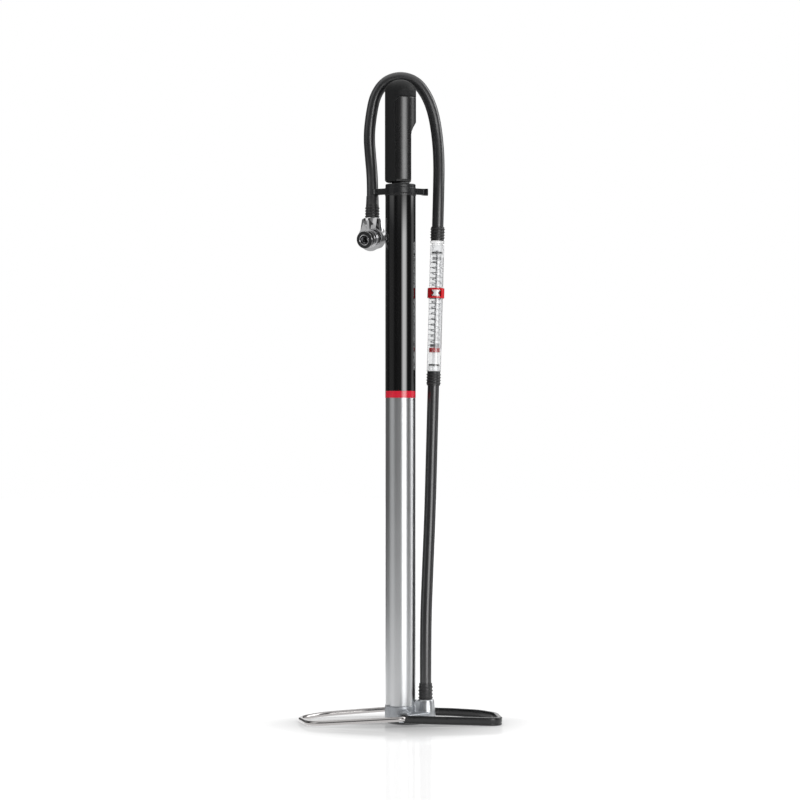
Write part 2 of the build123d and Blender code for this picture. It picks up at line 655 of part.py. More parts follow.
BAR_DROP = AXLE_Z - 1.6       # height of the bar's middle at the pivot
BAR_SLOPE = (BAR_DROP - BAR_HEIGHT / 2) / (BAR_REACH - AXLE_X)
bar_out = Vector(1, 0, -BAR_SLOPE).normalized()
bar_plane = Plane(origin=(AXLE_X, 0, BAR_DROP), x_dir=bar_out, z_dir=bar_out.cross(ACROSS))
bar_length = (BAR_REACH - AXLE_X) - BAR_THICK / 2
GROOVE_DEPTH = 0.45
GROOVE_WIDTH = 0.8
LIP_HEIGHT = 1.8

with BuildPart() as bar_foot:
    layers = [
        (-BAR_HEIGHT / 2, BAR_HEIGHT - LIP_HEIGHT - GROOVE_WIDTH, BAR_THICK),
        (BAR_HEIGHT / 2 - LIP_HEIGHT - GROOVE_WIDTH, GROOVE_WIDTH, BAR_THICK - 2 * GROOVE_DEPTH),
        (BAR_HEIGHT / 2 - LIP_HEIGHT, LIP_HEIGHT, BAR_THICK),
    ]
    for start, height, width in layers:
        with BuildSketch(bar_plane.offset(start)):
            with BuildLine():
                FilletPolyline(
                    (0, -BAR_Y), (bar_length, -BAR_Y), (bar_length - 4, 8), (bar_length - 20, BAR_Y - 9.3),
                    (bar_length - 48, BAR_Y - 1.3), (0, BAR_Y), radius=[10, 22, 20, 45],
                )
            trace(line_width=width)
        extrude(amount=height)
    for side in (-1, 1):
        eye_half = BAR_THICK / 2 + 0.6
        add(disc(axle_centre, ACROSS * side, BAR_EYE_R, BAR_Y - eye_half, BAR_Y + eye_half))
    for side in (-1, 1):
        bore = disc(axle_centre, ACROSS * side, AXLE_R + FIT + BUSH_WALL, BAR_Y - 9, BAR_Y + 9)
        add(bore, mode=Mode.SUBTRACT)
save(bar_foot, "bar_foot")

with BuildPart() as foot_bushes:
    for side in (-1, 1):
        bush_r = AXLE_R + FIT + BUSH_WALL
        add(ring(axle_centre, ACROSS * side, bush_r, AXLE_R + FIT, BAR_Y - eye_half, BAR_Y + eye_half))
save(foot_bushes, "foot_bushes")

# ---------------------------------------------------------------------------------------------------------
# Hoses and their sleeves
# ---------------------------------------------------------------------------------------------------------

hose(LOWER_ROUTE, "lower_hose")
hose(UPPER_ROUTE, "upper_hose")

with BuildPart() as gauge_low_sleeve:
    sleeve = ribbed_outline(HOSE_SLEEVE_R, RIB_R, HOSE_BORE_R, 0, GAUGE_SLEEVE_LENGTH, RIBS)
    add(turned(hose_foot, gauge_axis, sleeve))
save(gauge_low_sleeve, "gauge_lower_sleeve")

with BuildPart() as gauge_top_sleeve:
    sleeve = ribbed_outline(HOSE_SLEEVE_R, RIB_R, HOSE_BORE_R, 0, GAUGE_SLEEVE_LENGTH, RIBS)
    add(turned(gauge_head, gauge_axis, sleeve))
save(gauge_top_sleeve, "gauge_upper_sleeve")

# ---------------------------------------------------------------------------------------------------------
# In-line pressure gauge
# ---------------------------------------------------------------------------------------------------------

PLUG_R = GAUGE_BORE_R
TUBE_TOP = GAUGE_LENGTH - 4.3
TOP_PLUG_START = GAUGE_LENGTH - TOP_PLUG_LENGTH
SPRING_END = TOP_PLUG_START - 1.0

with BuildPart() as gauge_tube:
    add(ring(gauge_foot, gauge_axis, GAUGE_R, GAUGE_BORE_R, 0.6, TUBE_TOP))
save(gauge_tube, "gauge_tube")

with BuildPart() as gauge_low_plug:
    outline = [(1.2, 0), (GAUGE_R, 0), (GAUGE_R, 0.6), (PLUG_R, 0.6), (PLUG_R, LOW_PLUG_LENGTH)]
    outline += [(3.4, LOW_PLUG_LENGTH), (3.4, LOW_PLUG_LENGTH + SEAL_RING)]
    outline += [(1.8, LOW_PLUG_LENGTH + SEAL_RING)]
    outline += [(1.8, INDICATOR_START - GAP), (1.2, INDICATOR_START - GAP)]
    add(turned(gauge_foot, gauge_axis, outline))
save(gauge_low_plug, "gauge_lower_plug")

with BuildPart() as gauge_top_plug:
    seal_start = TOP_PLUG_START + 1.6
    outline = [(0, TOP_PLUG_START), (PLUG_R, TOP_PLUG_START), (PLUG_R, seal_start), (3.8, seal_start)]
    outline += [(3.8, seal_start + SEAL_RING), (PLUG_R, seal_start + SEAL_RING), (PLUG_R, TUBE_TOP)]
    outline += [(5.3, TUBE_TOP), (5.3, GAUGE_LENGTH - 2.7), (GAUGE_R, GAUGE_LENGTH - 2.7)]
    outline += [(GAUGE_R, GAUGE_LENGTH), (0, GAUGE_LENGTH)]
    add(turned(gauge_foot, gauge_axis, outline))
    bore = disc(gauge_foot, gauge_axis, GUIDE_ROD_R, TOP_PLUG_START, TOP_PLUG_START + 5)
    add(bore, mode=Mode.SUBTRACT)
save(gauge_top_plug, "gauge_upper_plug")

with BuildPart() as gauge_seals:
    add(ring(gauge_foot, gauge_axis, PLUG_R, 3.4, LOW_PLUG_LENGTH, LOW_PLUG_LENGTH + SEAL_RING))
    add(ring(gauge_foot, gauge_axis, PLUG_R, 3.8, seal_start, seal_start + SEAL_RING))
save(gauge_seals, "gauge_seal_rings")

with BuildPart() as guide_rod:
    add(disc(gauge_foot, gauge_axis, GUIDE_ROD_R, INDICATOR_START - GAP, TOP_PLUG_START + 5))
save(guide_rod, "gauge_guide_rod")

with BuildPart() as indicator:
    stop = INDICATOR_START + INDICATOR_LENGTH
    outline = [(GUIDE_ROD_R + FIT, INDICATOR_START), (PLUG_R - FIT, INDICATOR_START), (PLUG_R - FIT, stop)]
    outline += [(GUIDE_ROD_R + FIT, stop)]
    add(turned(gauge_foot, gauge_axis, outline))
save(indicator, "gauge_indicator")

with BuildPart() as gauge_spring:
    spring_length = SPRING_END - SPRING_START
    spring_plane = along_plane(gauge_foot, gauge_axis, SPRING_START + SPRING_WIRE_R)
    coil = Helix(
        pitch=SPRING_PITCH, height=spring_length - 2 * SPRING_WIRE_R, radius=SPRING_R,
        center=spring_plane.origin, direction=spring_plane.z_dir,
    )
    with BuildSketch(Plane(origin=coil @ 0, z_dir=coil % 0)):
        Circle(SPRING_WIRE_R)
    sweep(path=coil, is_frenet=True)
save(gauge_spring, "gauge_spring")

WINDOW_WIDTH = 10.2
WINDOW_HEIGHT = 6.4

with BuildPart() as gauge_marker:
    add(ring(gauge_foot, gauge_axis, MARKER_R, GAUGE_R + FIT, MARKER_START, MARKER_START + MARKER_LENGTH))
    window_at = gauge_foot + gauge_axis * (MARKER_START + MARKER_LENGTH / 2)
    with BuildSketch(Plane(origin=window_at, x_dir=(1, 0, 0), z_dir=(0, -1, 0))):
        Rectangle(WINDOW_WIDTH, WINDOW_HEIGHT)
    extrude(amount=2 * MARKER_R, mode=Mode.SUBTRACT)
save(gauge_marker, "gauge_marker")

# ---------------------------------------------------------------------------------------------------------
# Hose head
# ---------------------------------------------------------------------------------------------------------

CAVITY_R = 6.4
CAVITY_BACK = -3.0
NOZZLE_TAIL = 1.5
DEPRESSOR_R = 0.9
DEPRESSOR_END = NOZZLE_REACH - RING_LENGTH - GASKET_LENGTH - GAP
SLEEVE_TOP = (clip_end - head_centre).length
STRAIN_LENGTH = 9.0
CHUCK_SLEEVE_LENGTH = SLEEVE_TOP - NECK_LENGTH - STRAIN_LENGTH

with BuildPart() as chuck_body:
    add(disc(head_centre, nozzle_axis, HEAD_R, -HEAD_HALF_DEPTH, HEAD_HALF_DEPTH))
    with BuildSketch(along_plane(head_centre, chuck_axis, 0)):
        RegularPolygon(HEAD_R * 0.98, 8)
    with BuildSketch(along_plane(head_centre, chuck_axis, NECK_LENGTH)):
        RegularPolygon(NECK_HEAD_R, 8)
    loft()
    add(disc(head_centre, nozzle_axis, CAVITY_R, CAVITY_BACK, 3 * HEAD_R), mode=Mode.SUBTRACT)
    add(disc(head_centre, nozzle_axis, HEAD_R * 1.4, HEAD_HALF_DEPTH, 3 * HEAD_R), mode=Mode.SUBTRACT)
    add(disc(head_centre, nozzle_axis, HEAD_R * 2, -3 * HEAD_R, -HEAD_HALF_DEPTH), mode=Mode.SUBTRACT)
    add(disc(head_centre, chuck_axis, 2.0, 0, NECK_LENGTH), mode=Mode.SUBTRACT)
    add(disc(head_centre, nozzle_axis, DEPRESSOR_R, CAVITY_BACK - 0.5, DEPRESSOR_END))
save(chuck_body, "chuck_body")

with BuildPart() as chuck_knob:
    back = -HEAD_HALF_DEPTH - KNOB_GAP
    outline = [(0, back), (HEAD_R - 1, back), (HEAD_R, back - 1), (HEAD_R, back - KNOB_DEPTH + 2)]
    outline += [(HEAD_R - 2.5, back - KNOB_DEPTH), (0, back - KNOB_DEPTH)]
    add(turned(head_centre, nozzle_axis, outline))
save(chuck_knob, "chuck_knob")

with BuildPart() as chuck_nozzle:
    flange = NOZZLE_REACH - NOZZLE_FLANGE
    outline = [(INSERT_R, NOZZLE_TAIL), (CAVITY_R, NOZZLE_TAIL), (CAVITY_R, HEAD_HALF_DEPTH)]
    outline += [(NOZZLE_NECK_R, HEAD_HALF_DEPTH), (NOZZLE_NECK_R, flange), (NOZZLE_R, flange)]
    outline += [(NOZZLE_R, NOZZLE_REACH - 0.8), (NOZZLE_R - 0.8, NOZZLE_REACH), (INSERT_R, NOZZLE_REACH)]
    add(turned(head_centre, nozzle_axis, outline))
save(chuck_nozzle, "chuck_nozzle")

with BuildPart() as nozzle_ring:
    add(ring(head_centre, nozzle_axis, INSERT_R, VALVE_R, NOZZLE_REACH - RING_LENGTH, NOZZLE_REACH))
save(nozzle_ring, "chuck_nozzle_ring")

with BuildPart() as gasket:
    gasket_end = NOZZLE_REACH - RING_LENGTH
    add(ring(head_centre, nozzle_axis, INSERT_R, VALVE_R, gasket_end - GASKET_LENGTH, gasket_end))
save(gasket, "chuck_gasket")

with BuildPart() as chuck_sleeve:
    sleeve = ribbed_outline(HOSE_SLEEVE_R, RIB_R, HOSE_BORE_R, NECK_LENGTH, CHUCK_SLEEVE_LENGTH, RIBS)
    strain = sleeve[:-2] + [(HOSE_SLEEVE_R - 0.1, NECK_LENGTH + CHUCK_SLEEVE_LENGTH)]
    strain += [(HOSE_SLEEVE_R - 0.2, SLEEVE_TOP), (HOSE_BORE_R, SLEEVE_TOP)]
    add(turned(head_centre, chuck_axis, strain))
save(chuck_sleeve, "chuck_hose_sleeve")

print("stroke", round(STROKE, 2))
print("gauge axis", gauge_axis, "foot", gauge_foot, "length", GAUGE_LENGTH)
print("nozzle axis", nozzle_axis, "mouth", head_centre + nozzle_axis * NOZZLE_REACH)
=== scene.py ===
"""Looks of the floor bike pump: every visible piece, its finish, the studio and the camera.

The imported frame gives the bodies, the nodes and the places. Sizes here are in millimetres, in the frame's own
axes, and become metres only where a mesh is made.
"""

import json
import logging
import math
from dataclasses import dataclass, field
from enum import Enum
from typing import Sequence

import bmesh
import bpy
from mathutils import Matrix, Vector

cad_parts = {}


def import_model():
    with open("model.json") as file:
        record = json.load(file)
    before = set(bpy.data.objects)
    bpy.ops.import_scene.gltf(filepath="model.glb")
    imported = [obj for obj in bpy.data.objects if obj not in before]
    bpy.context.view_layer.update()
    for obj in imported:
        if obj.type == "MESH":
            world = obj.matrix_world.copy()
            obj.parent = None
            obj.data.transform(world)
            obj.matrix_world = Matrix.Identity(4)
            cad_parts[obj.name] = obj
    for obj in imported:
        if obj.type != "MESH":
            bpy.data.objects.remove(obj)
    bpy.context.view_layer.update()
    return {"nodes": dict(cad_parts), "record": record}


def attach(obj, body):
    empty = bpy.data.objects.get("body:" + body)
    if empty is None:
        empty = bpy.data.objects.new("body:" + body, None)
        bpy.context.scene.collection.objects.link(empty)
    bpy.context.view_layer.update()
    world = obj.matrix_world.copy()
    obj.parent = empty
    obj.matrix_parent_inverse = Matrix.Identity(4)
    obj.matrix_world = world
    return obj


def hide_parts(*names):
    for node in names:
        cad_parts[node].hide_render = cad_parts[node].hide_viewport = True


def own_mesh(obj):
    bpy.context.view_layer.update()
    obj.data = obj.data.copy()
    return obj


LOG = logging.getLogger("pump")
MM = 0.001

# Points nearer than this are merged, in metres; edges over these angles, in degrees, stay sharp or are rounded.
MERGE = 1e-6
SHARP_ANGLE = 32.0
BEVEL_ANGLE = 38.0
UP = Vector((0.0, 0.0, 1.0))
FRONT = Vector((0.0, -1.0, 0.0))
Outline = list[tuple[float, float]]
Colour = tuple[float, float, float]


# ---------------------------------------------------------------------------------------------------------
# Node graphs
# ---------------------------------------------------------------------------------------------------------


class Graph:
    """Adds and joins the nodes of one node tree."""

    def __init__(self, tree: bpy.types.NodeTree) -> None:
        """Start from an empty tree.

        Args:
            tree: The shader or geometry tree to fill.
        """
        self.tree = tree
        self.tree.nodes.clear()
        self.column = 0

    def add(self, kind: str, inputs: dict | None = None, **settings: object) -> bpy.types.Node:
        """Add a node.

        Args:
            kind: The node's type name.
            inputs: Values of its input sockets by name or index; a socket as the value is linked.
            settings: Values of the node's own properties.

        Returns:
            The new node.
        """
        node = self.tree.nodes.new(kind)
        node.location = (220 * self.column, 0)
        self.column += 1
        for name, value in settings.items():
            setattr(node, name, value)
        for name, value in (inputs or {}).items():
            self.feed(node.inputs[name], value)
        return node

    def feed(self, socket: bpy.types.NodeSocket, value: object) -> None:
        """Give a socket a constant, or a link when the value is another socket."""
        if isinstance(value, bpy.types.NodeSocket):
            self.tree.links.new(value, socket)
        else:
            socket.default_value = value

    def maths(self, operation: str, first: object, second: object = 0.0) -> bpy.types.NodeSocket:
        """Add a Math node and return its value."""
        node = self.add("ShaderNodeMath", {0: first, 1: second}, operation=operation)
        return node.outputs[0]

    def spread(self, value: object, low: object, high: object, to_low: object = 0.0,
               to_high: object = 1.0) -> bpy.types.NodeSocket:
        """Map a value from one range to another, clamped, and return the result."""
        inputs = {"Value": value, "From Min": low, "From Max": high, "To Min": to_low, "To Max": to_high}
        return self.add("ShaderNodeMapRange", inputs).outputs["Result"]

    def vector(self, x: object = 0.0, y: object = 0.0, z: object = 0.0) -> bpy.types.NodeSocket:
        """Join three values and return the vector."""
        return self.add("ShaderNodeCombineXYZ", {"X": x, "Y": y, "Z": z}).outputs[0]

    def noise(self, where: object, scale: object, detail: float, distortion: float = 0.0) -> bpy.types.NodeSocket:
        """Add a Noise Texture and return its value."""
        inputs = {"Vector": where, "Scale": scale, "Detail": detail, "Distortion": distortion}
        return self.add("ShaderNodeTexNoise", inputs).outputs["Fac"]


    def mixed_colour(self, share: object, base: object, over: object) -> bpy.types.NodeSocket:
        """Mix one colour over another by a share and return the result."""
        mix = self.add("ShaderNodeMix", data_type="RGBA")
        for kind, value in (("Factor_Float", share), ("A_Color", base), ("B_Color", over)):
            self.feed(next(socket for socket in mix.inputs if socket.identifier == kind), value)
        return next(socket for socket in mix.outputs if socket.identifier == "Result_Color")


def new_group(name: str, inputs: dict[str, tuple[str, object]], outputs: dict[str, str], kind: str) -> Graph:
    """Make an empty node group with named sockets.

    Args:
        name: The group's name.
        inputs: Socket type and default value of each input.
        outputs: Socket type of each output.
        kind: "ShaderNodeTree" or "GeometryNodeTree".

    Returns:
        A graph of the group.
    """
    tree = bpy.data.node_groups.new(name, kind)
    graph = Graph(tree)
    for label, (socket_type, default) in inputs.items():
        socket = tree.interface.new_socket(label, in_out="INPUT", socket_type=socket_type)
        if default is not None:
            socket.default_value = default
    for label, socket_type in outputs.items():
        tree.interface.new_socket(label, in_out="OUTPUT", socket_type=socket_type)
    return graph


def new_material(name: str) -> tuple[bpy.types.Material, Graph]:
    """Make a material and the graph of its empty node tree."""
    material = bpy.data.materials.new(name)
    material.use_nodes = True
    return material, Graph(material.node_tree)


class Effects:
    """Shader node groups that several finishes share; each is built once, when first asked for.

    The spans are the stretches of a noise's or a slope's value that a mask goes from 0 to 1 over.
    """

    NOISE_SPAN = (0.3, 0.7)
    EDGE_SPAN = (0.52, 0.62)
    CHIP_SPAN = (0.4, 0.62)
    CHIP_SCALE = 220.0
    UPWARD_SPAN = (0.5, 1.0)
    DUST_SPAN = (0.35, 0.75)
    DUST_SCALE = 160.0
    COARSE_SHARE = 0.31
    COARSE_HEIGHT = 0.5

    def __init__(self) -> None:
        """Start with no group built."""
        self.built: dict[str, bpy.types.NodeTree] = {}

    def group(self, name: str) -> bpy.types.NodeTree:
        """Return the named effect's group, building it if it is new."""
        if name not in self.built:
            self.built[name] = getattr(self, name)()
        return self.built[name]

    def fine_grain(self) -> bpy.types.NodeTree:
        """Moulded or cast grain: a height from two sizes of noise."""
        sockets = {"Vector": ("NodeSocketVector", None), "Scale": ("NodeSocketFloat", 1500.0)}
        graph = new_group("fine_grain", sockets, {"Height": "NodeSocketFloat"}, "ShaderNodeTree")
        entry = graph.add("NodeGroupInput")
        where, scale = entry.outputs["Vector"], entry.outputs["Scale"]
        fine = graph.noise(where, scale, 3.0)
        coarse_scale = graph.maths("MULTIPLY", scale, self.COARSE_SHARE)
        coarse = graph.add("ShaderNodeTexVoronoi", {"Vector": where, "Scale": coarse_scale})
        cells = graph.maths("MULTIPLY", coarse.outputs["Distance"], self.COARSE_HEIGHT)
        graph.add("NodeGroupOutput", {"Height": graph.maths("ADD", fine, cells)})
        return graph.tree

    def drawn_lines(self) -> bpy.types.NodeTree:
        """Fine lines along an axis, as on drawn or brushed metal: a height and a tone."""
        sockets = {
            "Vector": ("NodeSocketVector", None),
            "Across": ("NodeSocketFloat", 900.0),
            "Along": ("NodeSocketFloat", 4.0),
        }
        outputs = {"Height": "NodeSocketFloat", "Tone": "NodeSocketFloat"}
        graph = new_group("drawn_lines", sockets, outputs, "ShaderNodeTree")
        entry = graph.add("NodeGroupInput")
        across = entry.outputs["Across"]
        scale = graph.vector(across, across, entry.outputs["Along"])
        stretched = graph.add("ShaderNodeVectorMath", {0: entry.outputs["Vector"], 1: scale}, operation="MULTIPLY")
        lines = graph.noise(stretched.outputs[0], 1.0, 2.0)
        graph.add("NodeGroupOutput", {"Height": lines, "Tone": graph.spread(lines, *self.NOISE_SPAN)})
        return graph.tree

    def handling(self) -> bpy.types.NodeTree:
        """Soft uneven roughness from handling: a value between two roughnesses."""
        sockets = {
            "Vector": ("NodeSocketVector", None),
            "Scale": ("NodeSocketFloat", 40.0),
            "Low": ("NodeSocketFloat", 0.2),
            "High": ("NodeSocketFloat", 0.4),
        }
        graph = new_group("handling", sockets, {"Roughness": "NodeSocketFloat"}, "ShaderNodeTree")
        entry = graph.add("NodeGroupInput")
        smears = graph.noise(entry.outputs["Vector"], entry.outputs["Scale"], 4.0, distortion=0.4)
        graded = graph.spread(smears, *self.NOISE_SPAN, entry.outputs["Low"], entry.outputs["High"])
        graph.add("NodeGroupOutput", {"Roughness": graded})
        return graph.tree

    def edge_wear(self) -> bpy.types.NodeTree:
        """A mask that is 1 on worn outer edges, broken up by noise."""
        sockets = {"Vector": ("NodeSocketVector", None), "Amount": ("NodeSocketFloat", 0.5)}
        graph = new_group("edge_wear", sockets, {"Mask": "NodeSocketFloat"}, "ShaderNodeTree")
        entry = graph.add("NodeGroupInput")
        geometry = graph.add("ShaderNodeNewGeometry")
        edge = graph.spread(geometry.outputs["Pointiness"], *self.EDGE_SPAN)
        chips = graph.noise(entry.outputs["Vector"], self.CHIP_SCALE, 5.0)
        worn = graph.maths("MULTIPLY", edge, graph.spread(chips, *self.CHIP_SPAN))
        graph.add("NodeGroupOutput", {"Mask": graph.maths("MULTIPLY", worn, entry.outputs["Amount"])})
        return graph.tree

    def dust(self) -> bpy.types.NodeTree:
        """A mask of faint dust on faces that look up."""
        sockets = {"Vector": ("NodeSocketVector", None), "Amount": ("NodeSocketFloat", 0.1)}
        graph = new_group("dust", sockets, {"Mask": "NodeSocketFloat"}, "ShaderNodeTree")
        entry = graph.add("NodeGroupInput")
        geometry = graph.add("ShaderNodeNewGeometry")
        height = graph.add("ShaderNodeSeparateXYZ", {0: geometry.outputs["Normal"]}).outputs["Z"]
        facing = graph.spread(height, *self.UPWARD_SPAN)
        specks = graph.noise(entry.outputs["Vector"], self.DUST_SCALE, 6.0)
        settled = graph.maths("MULTIPLY", facing, graph.spread(specks, *self.DUST_SPAN))
        graph.add("NodeGroupOutput", {"Mask": graph.maths("MULTIPLY", settled, entry.outputs["Amount"])})
        return graph.tree


EFFECTS = Effects()


def place_effect(graph: Graph, name: str, where: bpy.types.NodeSocket, **values: float) -> bpy.types.Node:
    """Place one of the shared effects in a material.

    Args:
        graph: The material's graph.
        name: The effect's name.
        where: The coordinates it reads.
        values: Its other inputs.

    Returns:
        The group node.
    """
    return graph.add("ShaderNodeGroup", {"Vector": where, **values}, node_tree=EFFECTS.group(name))


# The relief's depth at full strength in metres, the size of the slow tone shifts, the dust, and the turn that
# makes a brushed tube's highlight run along it.
RELIEF_REACH = 0.0005
TONE_SCALE = 25.0
DUST_COLOUR = (0.4, 0.39, 0.37)
QUARTER_TURN = 0.25


class Surface(Enum):
    """What a finish's fine relief is like."""

    GRAIN = "fine_grain"
    DRAWN = "drawn_lines"


@dataclass(frozen=True)
class Finish:
    """One procedural finish: its colour, gloss and fine relief."""

    name: str
    colour: Colour
    roughness: tuple[float, float]
    metallic: float = 0.0
    specular: float = 0.5
    coat: float = 0.0
    coat_roughness: float = 0.03
    ior: float = 1.5
    surface: Surface = Surface.GRAIN
    relief_scale: float = 1500.0
    relief_depth: float = 0.02
    handling_scale: float = 40.0
    tone_shift: float = 0.06
    wear: float = 0.0
    wear_colour: Colour = (0.5, 0.5, 0.5)
    dust: float = 0.0
    brushed: float = 0.0

    def build(self) -> bpy.types.Material:
        """Make the material.

        Returns:
            The new material.
        """
        material, graph = new_material(self.name)
        material.diffuse_color = (*self.colour, 1.0)
        where = graph.add("ShaderNodeTexCoord").outputs["Object"]
        low, high = self.roughness
        handled = place_effect(graph, "handling", where, Scale=self.handling_scale, Low=low, High=high)
        size = "Scale" if self.surface is Surface.GRAIN else "Across"
        relief = place_effect(graph, self.surface.value, where, **{size: self.relief_scale})
        shader = graph.add("ShaderNodeBsdfPrincipled", {
            "Base Color": self.tinted(graph, where),
            "Roughness": handled.outputs["Roughness"],
            "Metallic": self.metallic,
            "Specular IOR Level": self.specular,
            "IOR": self.ior,
            "Coat Weight": self.coat,
            "Coat Roughness": self.coat_roughness,
        })
        bump = graph.add("ShaderNodeBump", {
            "Height": relief.outputs["Height"], "Strength": self.relief_depth, "Distance": RELIEF_REACH,
        })
        graph.feed(shader.inputs["Normal"], bump.outputs["Normal"])
        if self.brushed:
            around = graph.add("ShaderNodeTangent", direction_type="RADIAL", axis="Z")
            graph.feed(shader.inputs["Tangent"], around.outputs[0])
            graph.feed(shader.inputs["Anisotropic"], self.brushed)
            graph.feed(shader.inputs["Anisotropic Rotation"], QUARTER_TURN)
        graph.add("ShaderNodeOutputMaterial", {"Surface": shader.outputs[0]})
        return material

    def tinted(self, graph: Graph, where: bpy.types.NodeSocket) -> bpy.types.NodeSocket:
        """The base colour with slow tone shifts, worn edges and dust."""
        clouds = graph.noise(where, TONE_SCALE, 3.0)
        shift = graph.spread(clouds, *Effects.NOISE_SPAN, 1.0 - self.tone_shift, 1.0 + self.tone_shift)
        tone = graph.add("ShaderNodeVectorMath", {0: self.colour, "Scale": shift}, operation="SCALE")
        colour = tone.outputs[0]
        for name, amount, over in (("edge_wear", self.wear, self.wear_colour), ("dust", self.dust, DUST_COLOUR)):
            if amount > 0:
                mask = place_effect(graph, name, where, Amount=amount).outputs["Mask"]
                colour = graph.mixed_colour(mask, colour, (*over, 1.0))
        return colour


@dataclass(frozen=True)
class ClearFinish:
    """Clear moulded plastic with faint handling marks."""

    name: str
    colour: Colour
    roughness: tuple[float, float] = (0.02, 0.07)
    ior: float = 1.46
    coat: float = 1.0
    handling_scale: float = 60.0

    def build(self) -> bpy.types.Material:
        """Make the material.

        Returns:
            The new material.
        """
        material, graph = new_material(self.name)
        where = graph.add("ShaderNodeTexCoord").outputs["Object"]
        low, high = self.roughness
        handled = place_effect(graph, "handling", where, Scale=self.handling_scale, Low=low, High=high)
        shader = graph.add("ShaderNodeBsdfPrincipled", {
            "Base Color": (*self.colour, 1.0),
            "Roughness": handled.outputs["Roughness"],
            "Transmission Weight": 1.0,
            "IOR": self.ior,
            "Coat Weight": self.coat,
        })
        graph.add("ShaderNodeOutputMaterial", {"Surface": shader.outputs[0]})
        return material


FINISHES = {finish.name: finish for finish in (
    Finish("polished_aluminium", (0.66, 0.67, 0.68), (0.32, 0.36), metallic=1.0, surface=Surface.DRAWN,
           relief_scale=700.0, relief_depth=0.012, tone_shift=0.02, handling_scale=12.0, brushed=0.9),
    Finish("black_gloss", (0.003, 0.003, 0.0032), (0.05, 0.09), specular=0.7, coat=1.0,
           relief_scale=260.0, relief_depth=0.006),
    Finish("handle_gloss", (0.006, 0.006, 0.0065), (0.25, 0.3), specular=1.0, relief_scale=900.0,
           relief_depth=0.03),
    Finish("colour_band", (0.72, 0.02, 0.045), (0.12, 0.2), coat=0.6, relief_scale=400.0),
    Finish("black_plastic", (0.014, 0.0145, 0.0155), (0.27, 0.38), relief_scale=1400.0, relief_depth=0.12,
           wear=0.1, wear_colour=(0.07, 0.07, 0.07), dust=0.05),
    Finish("chrome", (0.8, 0.8, 0.81), (0.04, 0.1), metallic=1.0, relief_scale=120.0, relief_depth=0.003,
           tone_shift=0.02),
    Finish("dark_chrome", (0.42, 0.405, 0.4), (0.1, 0.17), metallic=1.0, relief_scale=200.0,
           relief_depth=0.015, tone_shift=0.04),
    Finish("steel", (0.52, 0.52, 0.53), (0.2, 0.34), metallic=1.0, surface=Surface.DRAWN, relief_depth=0.05),
    Finish("cast_metal", (0.43, 0.45, 0.475), (0.3, 0.4), metallic=0.75, relief_scale=1100.0,
           relief_depth=0.16, tone_shift=0.05, wear=0.3, wear_colour=(0.72, 0.72, 0.72)),
    Finish("satin_metal", (0.68, 0.7, 0.72), (0.26, 0.33), metallic=0.9, relief_scale=900.0, relief_depth=0.05,
           tone_shift=0.03),
    Finish("black_paint", (0.006, 0.0065, 0.007), (0.2, 0.28), relief_scale=700.0, relief_depth=0.14, wear=0.2,
           wear_colour=(0.11, 0.11, 0.11), dust=0.08),
    Finish("soft_grip", (0.009, 0.0093, 0.0097), (0.5, 0.62), specular=0.3, relief_scale=1900.0,
           relief_depth=0.25, dust=0.05),
    Finish("hose_rubber", (0.022, 0.0225, 0.024), (0.27, 0.32), specular=1.0, relief_scale=1600.0,
           relief_depth=0.06, dust=0.04),
    Finish("seal_rubber", (0.02, 0.02, 0.021), (0.34, 0.44), specular=0.7, relief_scale=1300.0, relief_depth=0.2),
    Finish("grey_plastic", (0.42, 0.47, 0.45), (0.18, 0.3), relief_scale=700.0, relief_depth=0.05),
    Finish("white_print", (0.9, 0.91, 0.91), (0.12, 0.18), coat=1.0, relief_depth=0.02),
    Finish("red_plastic", (0.66, 0.012, 0.02), (0.16, 0.26), coat=0.3, relief_scale=600.0, relief_depth=0.04),
    Finish("brass", (0.72, 0.52, 0.24), (0.22, 0.34), metallic=1.0, surface=Surface.DRAWN, relief_depth=0.05),
    Finish("knurled_black", (0.03, 0.03, 0.031), (0.22, 0.3), relief_scale=900.0, relief_depth=0.05),
    Finish("spring_steel", (0.3, 0.3, 0.31), (0.22, 0.34), metallic=0.8, relief_depth=0.05),
    Finish("scale_ink", (0.03, 0.03, 0.033), (0.4, 0.5), relief_depth=0.05),
    ClearFinish("clear_plastic", (0.955, 0.96, 0.965)),
    ClearFinish("milky_plastic", (0.99, 0.99, 0.995), (0.26, 0.32)),
)}


class Paintbox:
    """Builds each finish's material once and hands it out."""

    def __init__(self) -> None:
        """Start with no material made."""
        self.made: dict[str, bpy.types.Material] = {}

    def get(self, name: str) -> bpy.types.Material:
        """Return the material of a finish, making it the first time."""
        if name not in self.made:
            self.made[name] = FINISHES[name].build()
        return self.made[name]

    def paint(self, piece: bpy.types.Object, name: str) -> bpy.types.Object:
        """Give a whole piece one finish."""
        piece.data.materials.clear()
        piece.data.materials.append(self.get(name))
        return piece


PAINT = Paintbox()


# ---------------------------------------------------------------------------------------------------------
# Meshes
# ---------------------------------------------------------------------------------------------------------


